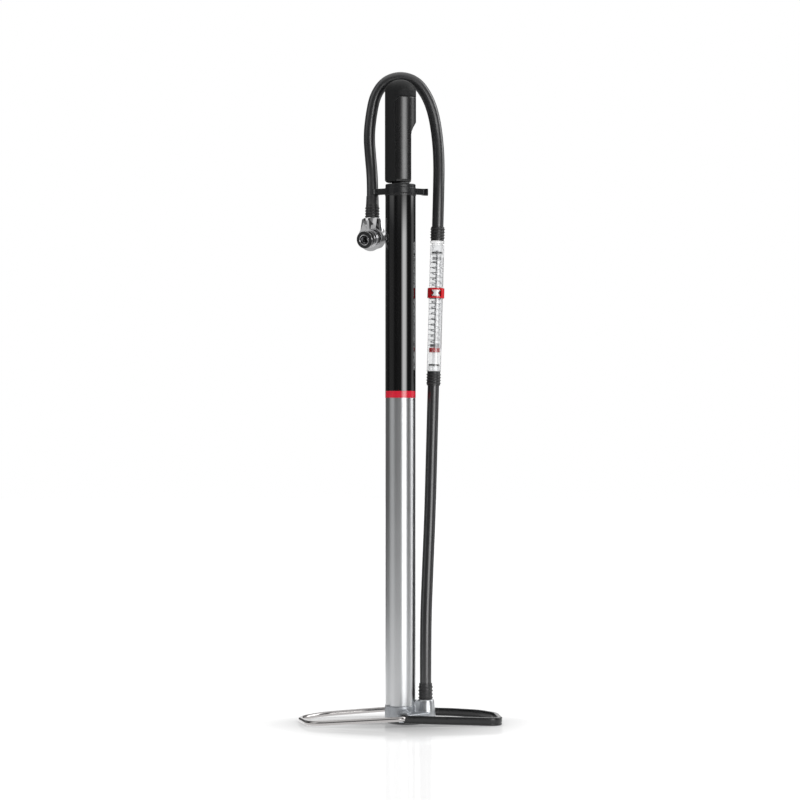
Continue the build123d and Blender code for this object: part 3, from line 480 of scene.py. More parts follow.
@dataclass(frozen=True)
class Spindle:
    """An axis that turned pieces stand on: a foot in millimetres and a direction."""

    foot: Vector
    axis: Vector = field(default_factory=lambda: UP.copy())

    @property
    def ahead(self) -> Vector:
        """The direction across the axis that looks to the front; angle 0."""
        level = FRONT - self.axis * FRONT.dot(self.axis)
        return level.normalized()

    @property
    def aside(self) -> Vector:
        """The direction across the axis at an angle of 90 degrees."""
        return self.axis.cross(self.ahead)

    def at(self, radius: float, angle: float, distance: float) -> Vector:
        """A point at a radius, an angle in radians and a distance along the axis, in millimetres."""
        across = self.ahead * math.cos(angle) + self.aside * math.sin(angle)
        return self.foot + self.axis * distance + across * radius

    def moved(self, distance: float) -> "Spindle":
        """The same axis with its foot further along."""
        return Spindle(self.foot + self.axis * distance, self.axis)

    def matrix(self) -> Matrix:
        """The transform, in metres, that stands a Z-up shape on the spindle with its -Y to the front."""
        turn = Matrix((self.aside, -self.ahead, self.axis)).transposed().to_4x4()
        return Matrix.Translation(self.foot * MM) @ turn


ORIGIN = Vector((0.0, 0.0, 0.0))
MIDDLE = Spindle(ORIGIN)


def rounded(points: Sequence[tuple], steps: int = 5, closed: bool = True) -> Outline:
    """Round the corners of an outline.

    Args:
        points: Corners as (x, y) or (x, y, radius).
        steps: Points on each arc.
        closed: Whether the outline joins up; if it doesn't, its ends stay as they are.

    Returns:
        The outline with its arcs worked out.
    """
    out: Outline = []
    count = len(points)
    for index, point in enumerate(points):
        here = Vector(point[:2])
        radius = point[2] if len(point) > 2 else 0.0
        if radius <= 0 or (not closed and index in (0, count - 1)):
            out.append((here.x, here.y))
            continue
        back = (Vector(points[index - 1][:2]) - here).normalized()
        on = (Vector(points[(index + 1) % count][:2]) - here).normalized()
        half = back.angle(on) / 2
        reach = radius / math.tan(half)
        centre = here + (back + on).normalized() * (radius / math.sin(half))
        start = here + back * reach - centre
        swing = start.angle_signed(here + on * reach - centre)
        for step in range(steps + 1):
            turned = start.copy()
            turned.rotate(Matrix.Rotation(-swing * step / steps, 2))
            out.append(tuple(centre + turned))
    return out


def smooth(piece: bpy.types.Object) -> bpy.types.Object:
    """Shade a mesh smooth, with its sharper edges kept."""
    piece.data.shade_smooth()
    piece.data.set_sharp_from_angle(angle=math.radians(SHARP_ANGLE))
    return piece


def as_piece(name: str, mesh: bpy.types.Mesh) -> bpy.types.Object:
    """Link a mesh to the scene as an object at the origin."""
    piece = bpy.data.objects.new(name, mesh)
    bpy.context.scene.collection.objects.link(piece)
    return piece


def from_bmesh(name: str, shape: bmesh.types.BMesh, outward: bool = True) -> bpy.types.Object:
    """Turn a bmesh, in metres, into a shaded piece.

    Args:
        name: The piece's name.
        shape: The bmesh, which is freed.
        outward: Whether to recalculate the normals.

    Returns:
        The piece.
    """
    if outward:
        bmesh.ops.recalc_face_normals(shape, faces=shape.faces)
    mesh = bpy.data.meshes.new(name)
    shape.to_mesh(mesh)
    shape.free()
    return smooth(as_piece(name, mesh))


def lathe(name: str, spindle: Spindle, outline: Sequence[tuple[float, float]], segments: int = 128,
          ring: bool = False) -> bpy.types.Object:
    """Turn an outline about a spindle.

    Args:
        name: The piece's name.
        spindle: The axis.
        outline: (radius, distance) points; a radius of 0 is a pole.
        segments: Faces round the axis.
        ring: Whether the outline closes on itself, as for a tube or a washer.

    Returns:
        The piece.
    """
    shape = bmesh.new()
    rows = []
    for radius, distance in outline:
        turns = 1 if radius == 0 else segments
        angles = (2 * math.pi * index / segments for index in range(turns))
        rows.append([shape.verts.new(spindle.at(radius, angle, distance) * MM) for angle in angles])
    pairs = list(zip(rows, rows[1:]))
    if ring:
        pairs.append((rows[-1], rows[0]))
    for low, high in pairs:
        for index in range(segments):
            after = (index + 1) % segments
            corners = [low[index % len(low)], low[after % len(low)], high[after % len(high)], high[index % len(high)]]
            corners = list(dict.fromkeys(corners))
            if len(corners) > 2:
                shape.faces.new(corners)
    return from_bmesh(name, shape)


def loft(shape: bmesh.types.BMesh, rings: Sequence[Sequence[bmesh.types.BMVert]]) -> None:
    """Join rings of the same number of vertices one to the next, and close both ends."""
    count = len(rings[0])
    for low, high in zip(rings, rings[1:]):
        for index in range(count):
            after = (index + 1) % count
            shape.faces.new((low[index], low[after], high[after], high[index]))
    shape.faces.new(rings[0])
    shape.faces.new(rings[-1])


def drill(spindle: Spindle, radius: float, low: float, high: float, segments: int = 48) -> bpy.types.Object:
    """A plain cylinder between two distances along a spindle, for cutting."""
    return lathe("drill", spindle, [(0.0, low), (radius, low), (radius, high), (0.0, high)], segments)


def sweep(name: str, path: Sequence[Vector], section: Outline, level: Vector) -> bpy.types.Object:
    """Carry a section along a path and close its ends.

    Args:
        name: The piece's name.
        path: Points in millimetres.
        section: Closed outline; its first axis lies across the path, its second along the level direction.
        level: The direction that the section's second axis keeps to.

    Returns:
        The piece.
    """
    shape = bmesh.new()
    rows = []
    for index, point in enumerate(path):
        before = path[max(index - 1, 0)]
        after = path[min(index + 1, len(path) - 1)]
        ahead = (after - before).normalized()
        side = ahead.cross(level).normalized()
        rise = side.cross(ahead)
        rows.append([shape.verts.new((point + side * u + rise * v) * MM) for u, v in section])
    loft(shape, rows)
    return from_bmesh(name, shape)


def filleted_path(points: Sequence[Vector], radii: Sequence[float], step: float = 1.2) -> list[Vector]:
    """A path of straight runs joined by arcs.

    Args:
        points: The corners, with the two ends.
        radii: Radius of each inner corner.
        step: Spacing of the points on the arcs.

    Returns:
        The path's points.
    """
    path = [points[0]]
    for before, corner, after, radius in zip(points, points[1:], points[2:], radii):
        back = (before - corner).normalized()
        on = (after - corner).normalized()
        half = back.angle(on) / 2
        centre = corner + (back + on).normalized() * (radius / math.sin(half))
        start = corner + back * (radius / math.tan(half)) - centre
        axis = start.cross(corner + on * (radius / math.tan(half)) - centre).normalized()
        swing = math.pi - 2 * half
        count = max(4, round(radius * swing / step))
        for index in range(count + 1):
            turned = start.copy()
            turned.rotate(Matrix.Rotation(swing * index / count, 3, axis))
            path.append(centre + turned)
    path.append(points[-1])
    return spaced(path)


def spaced(path: Sequence[Vector], longest: float = 6.0) -> list[Vector]:
    """Divide long runs of a path, so that a swept mesh has even faces."""
    out = [path[0]]
    for before, after in zip(path, path[1:]):
        count = max(1, math.ceil((after - before).length / longest))
        out += [before.lerp(after, index / count) for index in range(1, count + 1)]
    return out


def circle(radius: float, count: int = 24) -> Outline:
    """A circle as an outline."""
    return [(radius * math.cos(2 * math.pi * i / count), radius * math.sin(2 * math.pi * i / count))
            for i in range(count)]


def evaluated(piece: bpy.types.Object) -> bpy.types.Object:
    """Apply a piece's modifiers, by taking its evaluated mesh."""
    graph = bpy.context.evaluated_depsgraph_get()
    graph.update()
    mesh = bpy.data.meshes.new_from_object(piece.evaluated_get(graph))
    piece.modifiers.clear()
    piece.data = mesh
    return piece


def carve(piece: bpy.types.Object, other: bpy.types.Object, operation: str = "DIFFERENCE") -> bpy.types.Object:
    """Cut or join one mesh with another, which is removed."""
    cut = piece.modifiers.new("carve", "BOOLEAN")
    cut.operation = operation
    cut.solver = "EXACT"
    cut.object = other
    evaluated(piece)
    bpy.data.objects.remove(other)
    return smooth(piece)


def soften(piece: bpy.types.Object, width: float) -> bpy.types.Object:
    """Round a piece's sharp edges by a width in millimetres."""
    bevel = piece.modifiers.new("soften", "BEVEL")
    bevel.width = width * MM
    bevel.segments = 3
    bevel.limit_method = "ANGLE"
    bevel.angle_limit = math.radians(BEVEL_ANGLE)
    bevel.miter_outer = "MITER_ARC"
    return smooth(evaluated(piece))


def block(name: str, low: Sequence[float], high: Sequence[float]) -> bpy.types.Object:
    """A box between two corners, in millimetres, for cutting and joining."""
    shape = bmesh.new()
    bmesh.ops.create_cube(shape, size=1.0)
    for vertex in shape.verts:
        vertex.co = Vector([(low[i] + (vertex.co[i] + 0.5) * (high[i] - low[i])) * MM for i in range(3)])
    return from_bmesh(name, shape)


def cast_copy(name: str, node: bpy.types.Object, voxel: float, rounds: int) -> bpy.types.Object:
    """A softened copy of a CAD node, as a casting or a moulding comes out of its mould.

    Args:
        name: The piece's name.
        node: The CAD node; it isn't changed.
        voxel: Size of the new mesh's faces, in millimetres.
        rounds: How many times the surface is smoothed.

    Returns:
        The piece.
    """
    shape = bmesh.new()
    shape.from_mesh(node.data)
    bmesh.ops.remove_doubles(shape, verts=shape.verts, dist=MERGE)
    piece = moulded(from_bmesh(name, shape, outward=False), voxel, rounds)
    piece.data.materials.clear()
    return piece


def prism(name: str, corner: Vector, across: Vector, up: Vector, outline: Outline, low: float,
          high: float) -> bpy.types.Object:
    """Extrude a flat outline, given across and up from a corner, between two distances along their normal.

    Args:
        name: The piece's name.
        corner: The outline's origin in millimetres.
        across: Direction of its first axis.
        up: Direction of its second axis.
        outline: The closed outline.
        low: Where the prism starts along the normal, across x up.
        high: Where it ends.

    Returns:
        The piece.
    """
    normal = across.cross(up).normalized()
    shape = bmesh.new()
    flat = [corner + across * u + up * v for u, v in outline]
    loft(shape, [[shape.verts.new((point + normal * depth) * MM) for point in flat] for depth in (low, high)])
    return from_bmesh(name, shape)


def moulded(piece: bpy.types.Object, voxel: float, rounds: int) -> bpy.types.Object:
    """Give a piece even faces and soft edges, as moulded plastic has.

    Args:
        piece: The piece, closed; its mesh is replaced.
        voxel: Size of the new faces, in millimetres.
        rounds: How many times the surface is smoothed.

    Returns:
        The piece.
    """
    remesh = piece.modifiers.new("remesh", "REMESH")
    remesh.mode = "VOXEL"
    remesh.voxel_size = voxel * MM
    relax = piece.modifiers.new("relax", "SMOOTH")
    relax.factor = 0.5
    relax.iterations = rounds
    evaluated(piece)
    piece.data.shade_smooth()
    return piece


def trued(piece: bpy.types.Object, spindle: Spindle, radius: float, reach: float = 0.12) -> bpy.types.Object:
    """Bring points that are near a cylinder exactly onto it, so that its highlight runs straight."""
    foot = spindle.foot * MM
    for vertex in piece.data.vertices:
        offset = vertex.co - foot
        along = spindle.axis * offset.dot(spindle.axis)
        out = offset - along
        if abs(out.length / MM - radius) < reach:
            vertex.co = foot + along + out.normalized() * radius * MM
    return piece


def tube_outline(inner: float, outer: float, low: float, high: float, edge: float) -> Outline:
    """Half section of a tube with rounded outer edges."""
    return rounded([(inner, low), (outer, low, edge), (outer, high, edge), (inner, high)])


def placed(piece: bpy.types.Object, body: str, slot: str, finish: str, *nodes: str) -> bpy.types.Object:
    """Declare a finished piece: its body, its finish and the CAD nodes that it stands for.

    Args:
        piece: The piece.
        body: The CAD body that it rides on.
        slot: The record's material slot.
        finish: The name of its finish.
        nodes: CAD nodes that it replaces.

    Returns:
        The piece.
    """
    if finish:
        PAINT.paint(piece, finish)
    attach(piece, body)
    if nodes:
        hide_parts(*nodes)
    LOG.info("%s rides on %s, finish %s", piece.name, body, finish or slot)
    return piece


# ---------------------------------------------------------------------------------------------------------
# Geometry node trees
# ---------------------------------------------------------------------------------------------------------

FLOAT = "NodeSocketFloat"
WHOLE = "NodeSocketInt"
STUFF = "NodeSocketMaterial"
INK_DEPTH = 0.06

# The inputs of the trees that aren't lengths.
PLAIN_INPUTS = ("Count", "Turns", "End Share", "From", "Sweep")


class Growth:
    """Geometry node trees for what repeats along or round a piece; each is built once."""

    def __init__(self) -> None:
        """Start with no tree built."""
        self.built: dict[str, bpy.types.NodeTree] = {}

    def start(self, name: str, inputs: dict[str, tuple[str, object]]) -> tuple[Graph, bpy.types.Node]:
        """Begin a tree that takes a base shape, the given inputs and a material."""
        sockets = {"Base": ("NodeSocketGeometry", None), **inputs, "Material": (STUFF, None)}
        graph = new_group(name, sockets, {"Shape": "NodeSocketGeometry"}, "GeometryNodeTree")
        graph.tree.is_modifier = True
        return graph, graph.add("NodeGroupInput")

    def close(self, graph: Graph, entry: bpy.types.Node, shape: bpy.types.NodeSocket) -> bpy.types.NodeTree:
        """Join the base to the repeated shape, realise the instances and set the material."""
        joined = graph.add("GeometryNodeJoinGeometry")
        graph.feed(joined.inputs[0], entry.outputs["Base"])
        graph.feed(joined.inputs[0], shape)
        real = graph.add("GeometryNodeRealizeInstances", {0: joined.outputs[0]})
        finished = graph.add("GeometryNodeSetMaterial", {0: real.outputs[0]})
        graph.feed(finished.inputs["Material"], entry.outputs["Material"])
        graph.add("NodeGroupOutput", {0: finished.outputs[0]})
        return graph.tree

    def line(self, graph: Graph, entry: bpy.types.Node) -> bpy.types.NodeSocket:
        """Points up Z, from the inputs Count, First and Pitch."""
        line = graph.add("GeometryNodeMeshLine", {
            "Count": entry.outputs["Count"],
            "Start Location": graph.vector(z=entry.outputs["First"]),
            "Offset": graph.vector(z=entry.outputs["Pitch"]),
        })
        return line.outputs[0]

    def rod(self, graph: Graph, curve: object, profile: object, capped: bool) -> bpy.types.NodeSocket:
        """Carry a profile along a curve, with or without end caps."""
        inputs = {"Curve": curve, "Profile Curve": profile, "Fill Caps": capped}
        return graph.add("GeometryNodeCurveToMesh", inputs).outputs[0]

    def scattered(self, graph: Graph, points: object, shape: object, **more: object) -> bpy.types.NodeSocket:
        """Put a copy of a shape on every point."""
        inputs = {"Points": points, "Instance": shape, **more}
        return graph.add("GeometryNodeInstanceOnPoints", inputs).outputs[0]

    def ribs(self) -> bpy.types.NodeTree:
        """Round ribs spaced along Z."""
        graph, entry = self.start("ribs", {
            "Count": (WHOLE, 4), "First": (FLOAT, 0.0), "Pitch": (FLOAT, 0.003),
            "Radius": (FLOAT, 0.006), "Thickness": (FLOAT, 0.0007),
        })
        hoop = graph.add("GeometryNodeCurvePrimitiveCircle", {"Resolution": 72, "Radius": entry.outputs["Radius"]})
        bead = graph.add("GeometryNodeCurvePrimitiveCircle", {"Resolution": 12, "Radius": entry.outputs["Thickness"]})
        rib = self.rod(graph, hoop.outputs[0], bead.outputs[0], capped=False)
        return self.close(graph, entry, self.scattered(graph, self.line(graph, entry), rib))

    def ridges(self) -> bpy.types.NodeTree:
        """Upright ridges or teeth spaced round Z."""
        graph, entry = self.start("ridges", {
            "Count": (WHOLE, 40), "Radius": (FLOAT, 0.015), "Lift": (FLOAT, 0.0),
            "Depth": (FLOAT, 0.0005), "Width": (FLOAT, 0.001), "Height": (FLOAT, 0.002),
        })
        hoop = graph.add("GeometryNodeMeshCircle", {
            "Vertices": entry.outputs["Count"], "Radius": entry.outputs["Radius"],
        })
        size = graph.vector(entry.outputs["Depth"], entry.outputs["Width"], entry.outputs["Height"])
        ridge = graph.add("GeometryNodeMeshCube", {"Size": size})
        position = graph.add("GeometryNodeInputPosition")
        outward = graph.add("FunctionNodeAlignRotationToVector", {"Vector": position.outputs[0]}, axis="X")
        ridges = self.scattered(graph, hoop.outputs[0], ridge.outputs[0], Rotation=outward.outputs[0])
        lift = graph.vector(z=entry.outputs["Lift"])
        lifted = graph.add("GeometryNodeTransform", {"Geometry": ridges, "Translation": lift})
        return self.close(graph, entry, lifted.outputs[0])

    def coil(self) -> bpy.types.NodeTree:
        """A compression spring up Z, with close turns at both ends."""
        graph, entry = self.start("coil", {
            "Radius": (FLOAT, 0.004), "Wire": (FLOAT, 0.00045), "Turns": (FLOAT, 20.0), "Height": (FLOAT, 0.09),
            "End Share": (FLOAT, 0.15), "End Height": (FLOAT, 0.003),
        })
        radius, end = entry.outputs["Radius"], entry.outputs["End Height"]
        spiral = graph.add("GeometryNodeCurveSpiral", {
            "Resolution": 22, "Rotations": entry.outputs["Turns"],
            "Start Radius": radius, "End Radius": radius, "Height": 0.0,
        })
        along = graph.add("GeometryNodeSplineParameter").outputs["Factor"]
        share = entry.outputs["End Share"]
        far = graph.maths("SUBTRACT", 1.0, share)
        middle = graph.maths("SUBTRACT", entry.outputs["Height"], graph.maths("MULTIPLY", end, 2.0))
        rise = graph.spread(along, 0.0, share, 0.0, end)
        for low, high, gain in ((share, far, middle), (far, 1.0, end)):
            rise = graph.maths("ADD", rise, graph.spread(along, low, high, 0.0, gain))
        climb = graph.vector(z=rise)
        bent = graph.add("GeometryNodeSetPosition", {"Geometry": spiral.outputs[0], "Offset": climb})
        wire = graph.add("GeometryNodeCurvePrimitiveCircle", {"Resolution": 10, "Radius": entry.outputs["Wire"]})
        return self.close(graph, entry, self.rod(graph, bent.outputs[0], wire.outputs[0], capped=True))

    def marks(self) -> bpy.types.NodeTree:
        """Short printed lines bent round Z and spaced along it."""
        graph, entry = self.start("marks", {
            "Count": (WHOLE, 20), "First": (FLOAT, 0.0), "Pitch": (FLOAT, 0.003), "Radius": (FLOAT, 0.007),
            "From": (FLOAT, 0.0), "Sweep": (FLOAT, 0.5), "Thickness": (FLOAT, 0.0003),
        })
        arc = graph.add("GeometryNodeCurveArc", {
            "Resolution": 7, "Radius": entry.outputs["Radius"],
            "Start Angle": entry.outputs["From"], "Sweep Angle": entry.outputs["Sweep"],
        })
        stroke = graph.add("GeometryNodeCurvePrimitiveQuadrilateral", {
            "Width": INK_DEPTH * MM, "Height": entry.outputs["Thickness"],
        })
        mark = self.rod(graph, arc.outputs[0], stroke.outputs[0], capped=True)
        return self.close(graph, entry, self.scattered(graph, self.line(graph, entry), mark))

    def grow(self, tree_name: str, piece: bpy.types.Object, finish: str, spindle: Spindle,
             **values: float) -> bpy.types.Object:
        """Grow the repeated shape on a piece that stands at the origin, then move it to its spindle.

        Args:
            tree_name: Which tree.
            piece: The base, standing up Z; its mesh may be empty.
            finish: Name of the finish.
            spindle: Where the finished piece goes.
            values: The tree's inputs by label, with spaces as underscores; lengths in millimetres.

        Returns:
            The piece as a plain mesh.
        """
        if tree_name not in self.built:
            self.built[tree_name] = getattr(self, tree_name)()
        tree = self.built[tree_name]
        modifier = piece.modifiers.new(tree_name, "NODES")
        modifier.node_group = tree
        sockets = {item.name: item.identifier for item in tree.interface.items_tree if item.in_out == "INPUT"}
        for label, value in values.items():
            label = label.replace("_", " ")
            modifier[sockets[label]] = value if label in PLAIN_INPUTS else value * MM
        modifier[sockets["Material"]] = PAINT.get(finish)
        evaluated(piece)
        shape = bmesh.new()
        shape.from_mesh(piece.data)
        bmesh.ops.remove_doubles(shape, verts=shape.verts, dist=MERGE / 10)
        bmesh.ops.recalc_face_normals(shape, faces=shape.faces)
        shape.to_mesh(piece.data)
        shape.free()
        piece.data.transform(spindle.matrix())
        return smooth(piece)


GROWTH = Growth()


def empty_piece(name: str) -> bpy.types.Object:
    """A piece with no faces yet, for a tree to grow."""
    return as_piece(name, bpy.data.meshes.new(name))


# ---------------------------------------------------------------------------------------------------------
# Shared places
# ---------------------------------------------------------------------------------------------------------

AXLE = Vector((3.5, 0.0, 8.0))
ACROSS = Vector((0.0, 1.0, 0.0))
SIDEWAYS = Vector((1.0, 0.0, 0.0))

LOWER_ROUTE = [
    (0.0251, 0.0, 0.0385), (0.0250, 0.0004, 0.0940), (0.0271, 0.0020, 0.1500),
    (0.0296, 0.0044, 0.2100), (0.0313, 0.0067, 0.2740), (0.0330, 0.0086, 0.3360),
]
UPPER_ROUTE = [
    (0.0374, 0.0134, 0.4954), (0.03835, 0.0144, 0.5300), (0.0389, 0.0206, 0.5640), (0.0369, 0.0238, 0.5900),
    (0.0330, 0.0240, 0.6120), (0.0264, 0.0238, 0.6290), (0.0160, 0.0236, 0.6428), (0.0, 0.0235, 0.6479),
    (-0.0156, 0.0236, 0.6428), (-0.0254, 0.0238, 0.6290), (-0.0293, 0.0240, 0.6110), (-0.0319, 0.0243, 0.5880),
    (-0.0302, 0.0244, 0.5660), (-0.0287, 0.0229, 0.5500), (-0.0282, 0.01925, 0.5370), (-0.0282, 0.0180, 0.5266),
]

HOSE_FOOT = Vector(LOWER_ROUTE[-1]) / MM
HOSE_HEAD = Vector(UPPER_ROUTE[0]) / MM
GAUGE_AXIS = (HOSE_HEAD - HOSE_FOOT).normalized()
GAUGE_SLEEVE = 14.2
NECK_LENGTH = 18.9
GAUGE = Spindle(HOSE_FOOT + GAUGE_AXIS * GAUGE_SLEEVE, GAUGE_AXIS)
HEAD_CENTRE = Vector((-28.6, 13.0, 484.6))
NECK = Spindle(HEAD_CENTRE, (Vector(UPPER_ROUTE[-1]) / MM - HEAD_CENTRE).normalized())


def nozzle_axis(turn: float = 28.0, dip: float = 11.0) -> Vector:
    """Direction of the nozzle: turned to -X from the front and dipped, in degrees."""
    turn, dip = math.radians(turn), math.radians(dip)
    return Vector((-math.sin(turn) * math.cos(dip), -math.cos(turn) * math.cos(dip), -math.sin(dip)))


NOZZLE = Spindle(HEAD_CENTRE, nozzle_axis())


# ---------------------------------------------------------------------------------------------------------
# Sub-assemblies
# ---------------------------------------------------------------------------------------------------------


@dataclass(frozen=True)
class Panel:
    """An upright light panel: its azimuths, soft edge, radiance at the horizon, and above and below it."""

    low: float
    high: float
    edge: float
    level: float
    wing: float


# low, high, edge, level, wing
PANELS = (
    Panel(13.0, 45.0, 8.0, 4.9, 0.62),
    Panel(-24.0, 12.0, 8.0, 0.03, 0.16),
    Panel(-92.0, -52.0, 7.0, 0.13, 0.9),
    Panel(90.0, 118.0, 7.0, 0.45, 4.5),
    Panel(118.0, 160.0, 8.0, 0.04, 0.3),
    Panel(-165.0, -125.0, 10.0, 0.05, 0.2),
    Panel(168.0, 200.0, 3.0, 1.0, 1.0),
    Panel(-200.0, -168.0, 3.0, 1.0, 1.0),
)


@dataclass
class Studio:
    """Camera, soft studio light and the pale floor; distances in metres, the lens in millimetres.

    The spans are heights of a ray's direction, from level at 0 to straight up at 1.
    """

    distance: float = 2.7
    eye_height: float = 0.3215
    lens: float = 121.5
    camera_x: float = -0.0005
    floor_half: float = 6.0
    floor_glow: float = 0.405
    floor_tone: float = 0.8
    floor_gloss: float = 0.16
    floor_roughness: float = 0.04
    # Painted shadow on the floor: its reach to the sides, to the front and to the back in metres, the share of that
    # reach where it is darkest, and how much it darkens.
    painted_shadow_side: float = 0.145
    painted_shadow_front: float = 0.17
    painted_shadow_back: float = 0.075
    painted_shadow_core: float = 0.3
    painted_shadow_depth: float = 0.55
    card_half: float = 0.4
    card_glow: float = 1.15
    ambient: float = 0.045
    overhead: float = 1.0
    floor_bounce: float = 0.36
    level_span: tuple[float, float] = (0.15, 0.24)
    overhead_span: tuple[float, float] = (0.6, 0.85)
    bounce_span: tuple[float, float] = (-0.16, -0.3)

    def place_camera(self) -> None:
        """Put a level camera in front of the pump."""
        camera = bpy.data.objects.new("camera", bpy.data.cameras.new("camera"))
        bpy.context.scene.collection.objects.link(camera)
        camera.location = (self.camera_x, -self.distance, self.eye_height)
        camera.rotation_euler = (math.radians(90), 0.0, 0.0)
        camera.data.lens = self.lens
        camera.data.sensor_width = 36.0
        camera.data.clip_end = 50.0
        bpy.context.scene.camera = camera

    def band(self, graph: Graph, azimuth: bpy.types.NodeSocket, strip: bpy.types.NodeSocket,
             panel: Panel) -> bpy.types.NodeSocket:
        """Radiance of one light panel.

        Args:
            graph: The world's graph.
            azimuth: Azimuth of the ray in degrees, 0 towards the camera and positive to +X.
            strip: 1 near the horizon and 0 above and below it.
            panel: The panel.

        Returns:
            The panel's radiance as a socket.
        """
        rise = graph.spread(azimuth, panel.low - panel.edge, panel.low + panel.edge)
        fall = graph.spread(azimuth, panel.high - panel.edge, panel.high + panel.edge, 1.0, 0.0)
        level = graph.spread(strip, 0.0, 1.0, panel.wing, panel.level)
        return graph.maths("MULTIPLY", graph.maths("MULTIPLY", rise, fall), level)

    def light(self) -> None:
        """Build the studio: white behind the pump, and panels round it."""
        world = bpy.data.worlds.new("studio")
        world.use_nodes = True
        bpy.context.scene.world = world
        graph = Graph(world.node_tree)
        where = graph.add("ShaderNodeTexCoord").outputs["Generated"]
        axes = graph.add("ShaderNodeSeparateXYZ", {0: where})
        back = graph.maths("MULTIPLY", axes.outputs["Y"], -1.0)
        azimuth = graph.maths("MULTIPLY", graph.maths("ARCTAN2", axes.outputs["X"], back), 180 / math.pi)
        height = axes.outputs["Z"]
        strip = graph.spread(graph.maths("ABSOLUTE", height), *self.level_span, 1.0, 0.0)
        total = self.ambient
        for panel in PANELS:
            total = graph.maths("ADD", self.band(graph, azimuth, strip, panel), total)
        above = graph.spread(height, *self.overhead_span)
        below = graph.spread(height, *self.bounce_span)
        lit = self.blended(graph, total, above, self.overhead)
        lit = self.blended(graph, lit, below, self.floor_bounce)
        rays = graph.add("ShaderNodeLightPath")
        seen = graph.maths("MAXIMUM", rays.outputs["Is Camera Ray"], rays.outputs["Is Transmission Ray"])
        lit = self.blended(graph, lit, seen, 1.0)
        glow = graph.add("ShaderNodeBackground", {"Strength": lit, "Color": (1.0, 1.0, 1.0, 1.0)})
        graph.add("ShaderNodeOutputWorld", {"Surface": glow.outputs[0]})

    def blended(self, graph: Graph, base: object, share: object, level: object) -> bpy.types.NodeSocket:
        """Mix a radiance towards a level by a share."""
        mix = graph.add("ShaderNodeMix", {0: share, 2: base, 3: level})
        return mix.outputs[0]

    def sheet(self, name: str, half: float, height: float) -> tuple[bpy.types.Object, Graph]:
        """Lay a square sheet with a new material of its own.

        Args:
            name: The sheet's name.
            half: Half of its side, in metres.
            height: Its height, in metres.

        Returns:
            The sheet, and the graph of its material.
        """
        shape = bmesh.new()
        bmesh.ops.create_grid(shape, x_segments=1, y_segments=1, size=half)
        bmesh.ops.translate(shape, verts=shape.verts, vec=(0.0, 0.0, height))
        piece = from_bmesh(name, shape, outward=False)
        material, graph = new_material(f"{name}_paper")
        piece.data.materials.append(material)
        return piece, graph

    def lay_floor(self) -> None:
        """Lay the floor, which keeps white, with a soft shadow painted into its tone and glow round the pump's foot.
        """
        floor, graph = self.sheet("floor", self.floor_half, 0.0)
        where = graph.add("ShaderNodeTexCoord").outputs["Object"]
        axes = graph.add("ShaderNodeSeparateXYZ", {0: where})
        # Painted shadow: an ellipse round the pump's foot, reaching further to the front than to the back, set by
        # place on the floor and not by any light.
        side = graph.maths("DIVIDE", axes.outputs["X"], self.painted_shadow_side)
        front = graph.maths("DIVIDE", axes.outputs["Y"], -self.painted_shadow_front)
        depth = graph.maths("MAXIMUM", front, graph.maths("DIVIDE", axes.outputs["Y"], self.painted_shadow_back))
        inside = graph.vector(side, depth)
        away = graph.add("ShaderNodeVectorMath", {0: inside}, operation="LENGTH").outputs["Value"]
        # light is the painted shadow's factor: 1 outside the ellipse and darkest in its core; it darkens the floor's
        # tone and glow.
        light = graph.spread(away, self.painted_shadow_core, 1.0, 1.0 - self.painted_shadow_depth, 1.0)
        tone = graph.maths("MULTIPLY", light, self.floor_tone)
        matt = graph.add("ShaderNodeBsdfDiffuse", {"Color": tone})
        sheen = graph.add("ShaderNodeBsdfGlossy", {"Roughness": self.floor_roughness})
        paper = graph.add("ShaderNodeMixShader", {0: self.floor_gloss, 1: matt.outputs[0], 2: sheen.outputs[0]})
        glow = graph.add("ShaderNodeEmission", {"Strength": graph.maths("MULTIPLY", light, self.floor_glow)})
        both = graph.add("ShaderNodeAddShader", {0: paper.outputs[0], 1: glow.outputs[0]})
        graph.add("ShaderNodeOutputMaterial", {"Surface": both.outputs[0]})
        floor.visible_glossy = False

    def lay_card(self) -> None:
        """Lay a bright card just under the floor, which only the pump's gloss sees."""
        card, graph = self.sheet("card", self.card_half, -MM)
        glow = graph.add("ShaderNodeEmission", {"Strength": self.card_glow})
        graph.add("ShaderNodeOutputMaterial", {"Surface": glow.outputs[0]})
        card.visible_camera = False
        card.visible_diffuse = False
        card.visible_transmission = False
        card.visible_shadow = False

    def set_look(self) -> None:
        """Choose the plain view transform."""
        view = bpy.context.scene.view_settings
        view.view_transform = "Standard"
        view.look = "None"


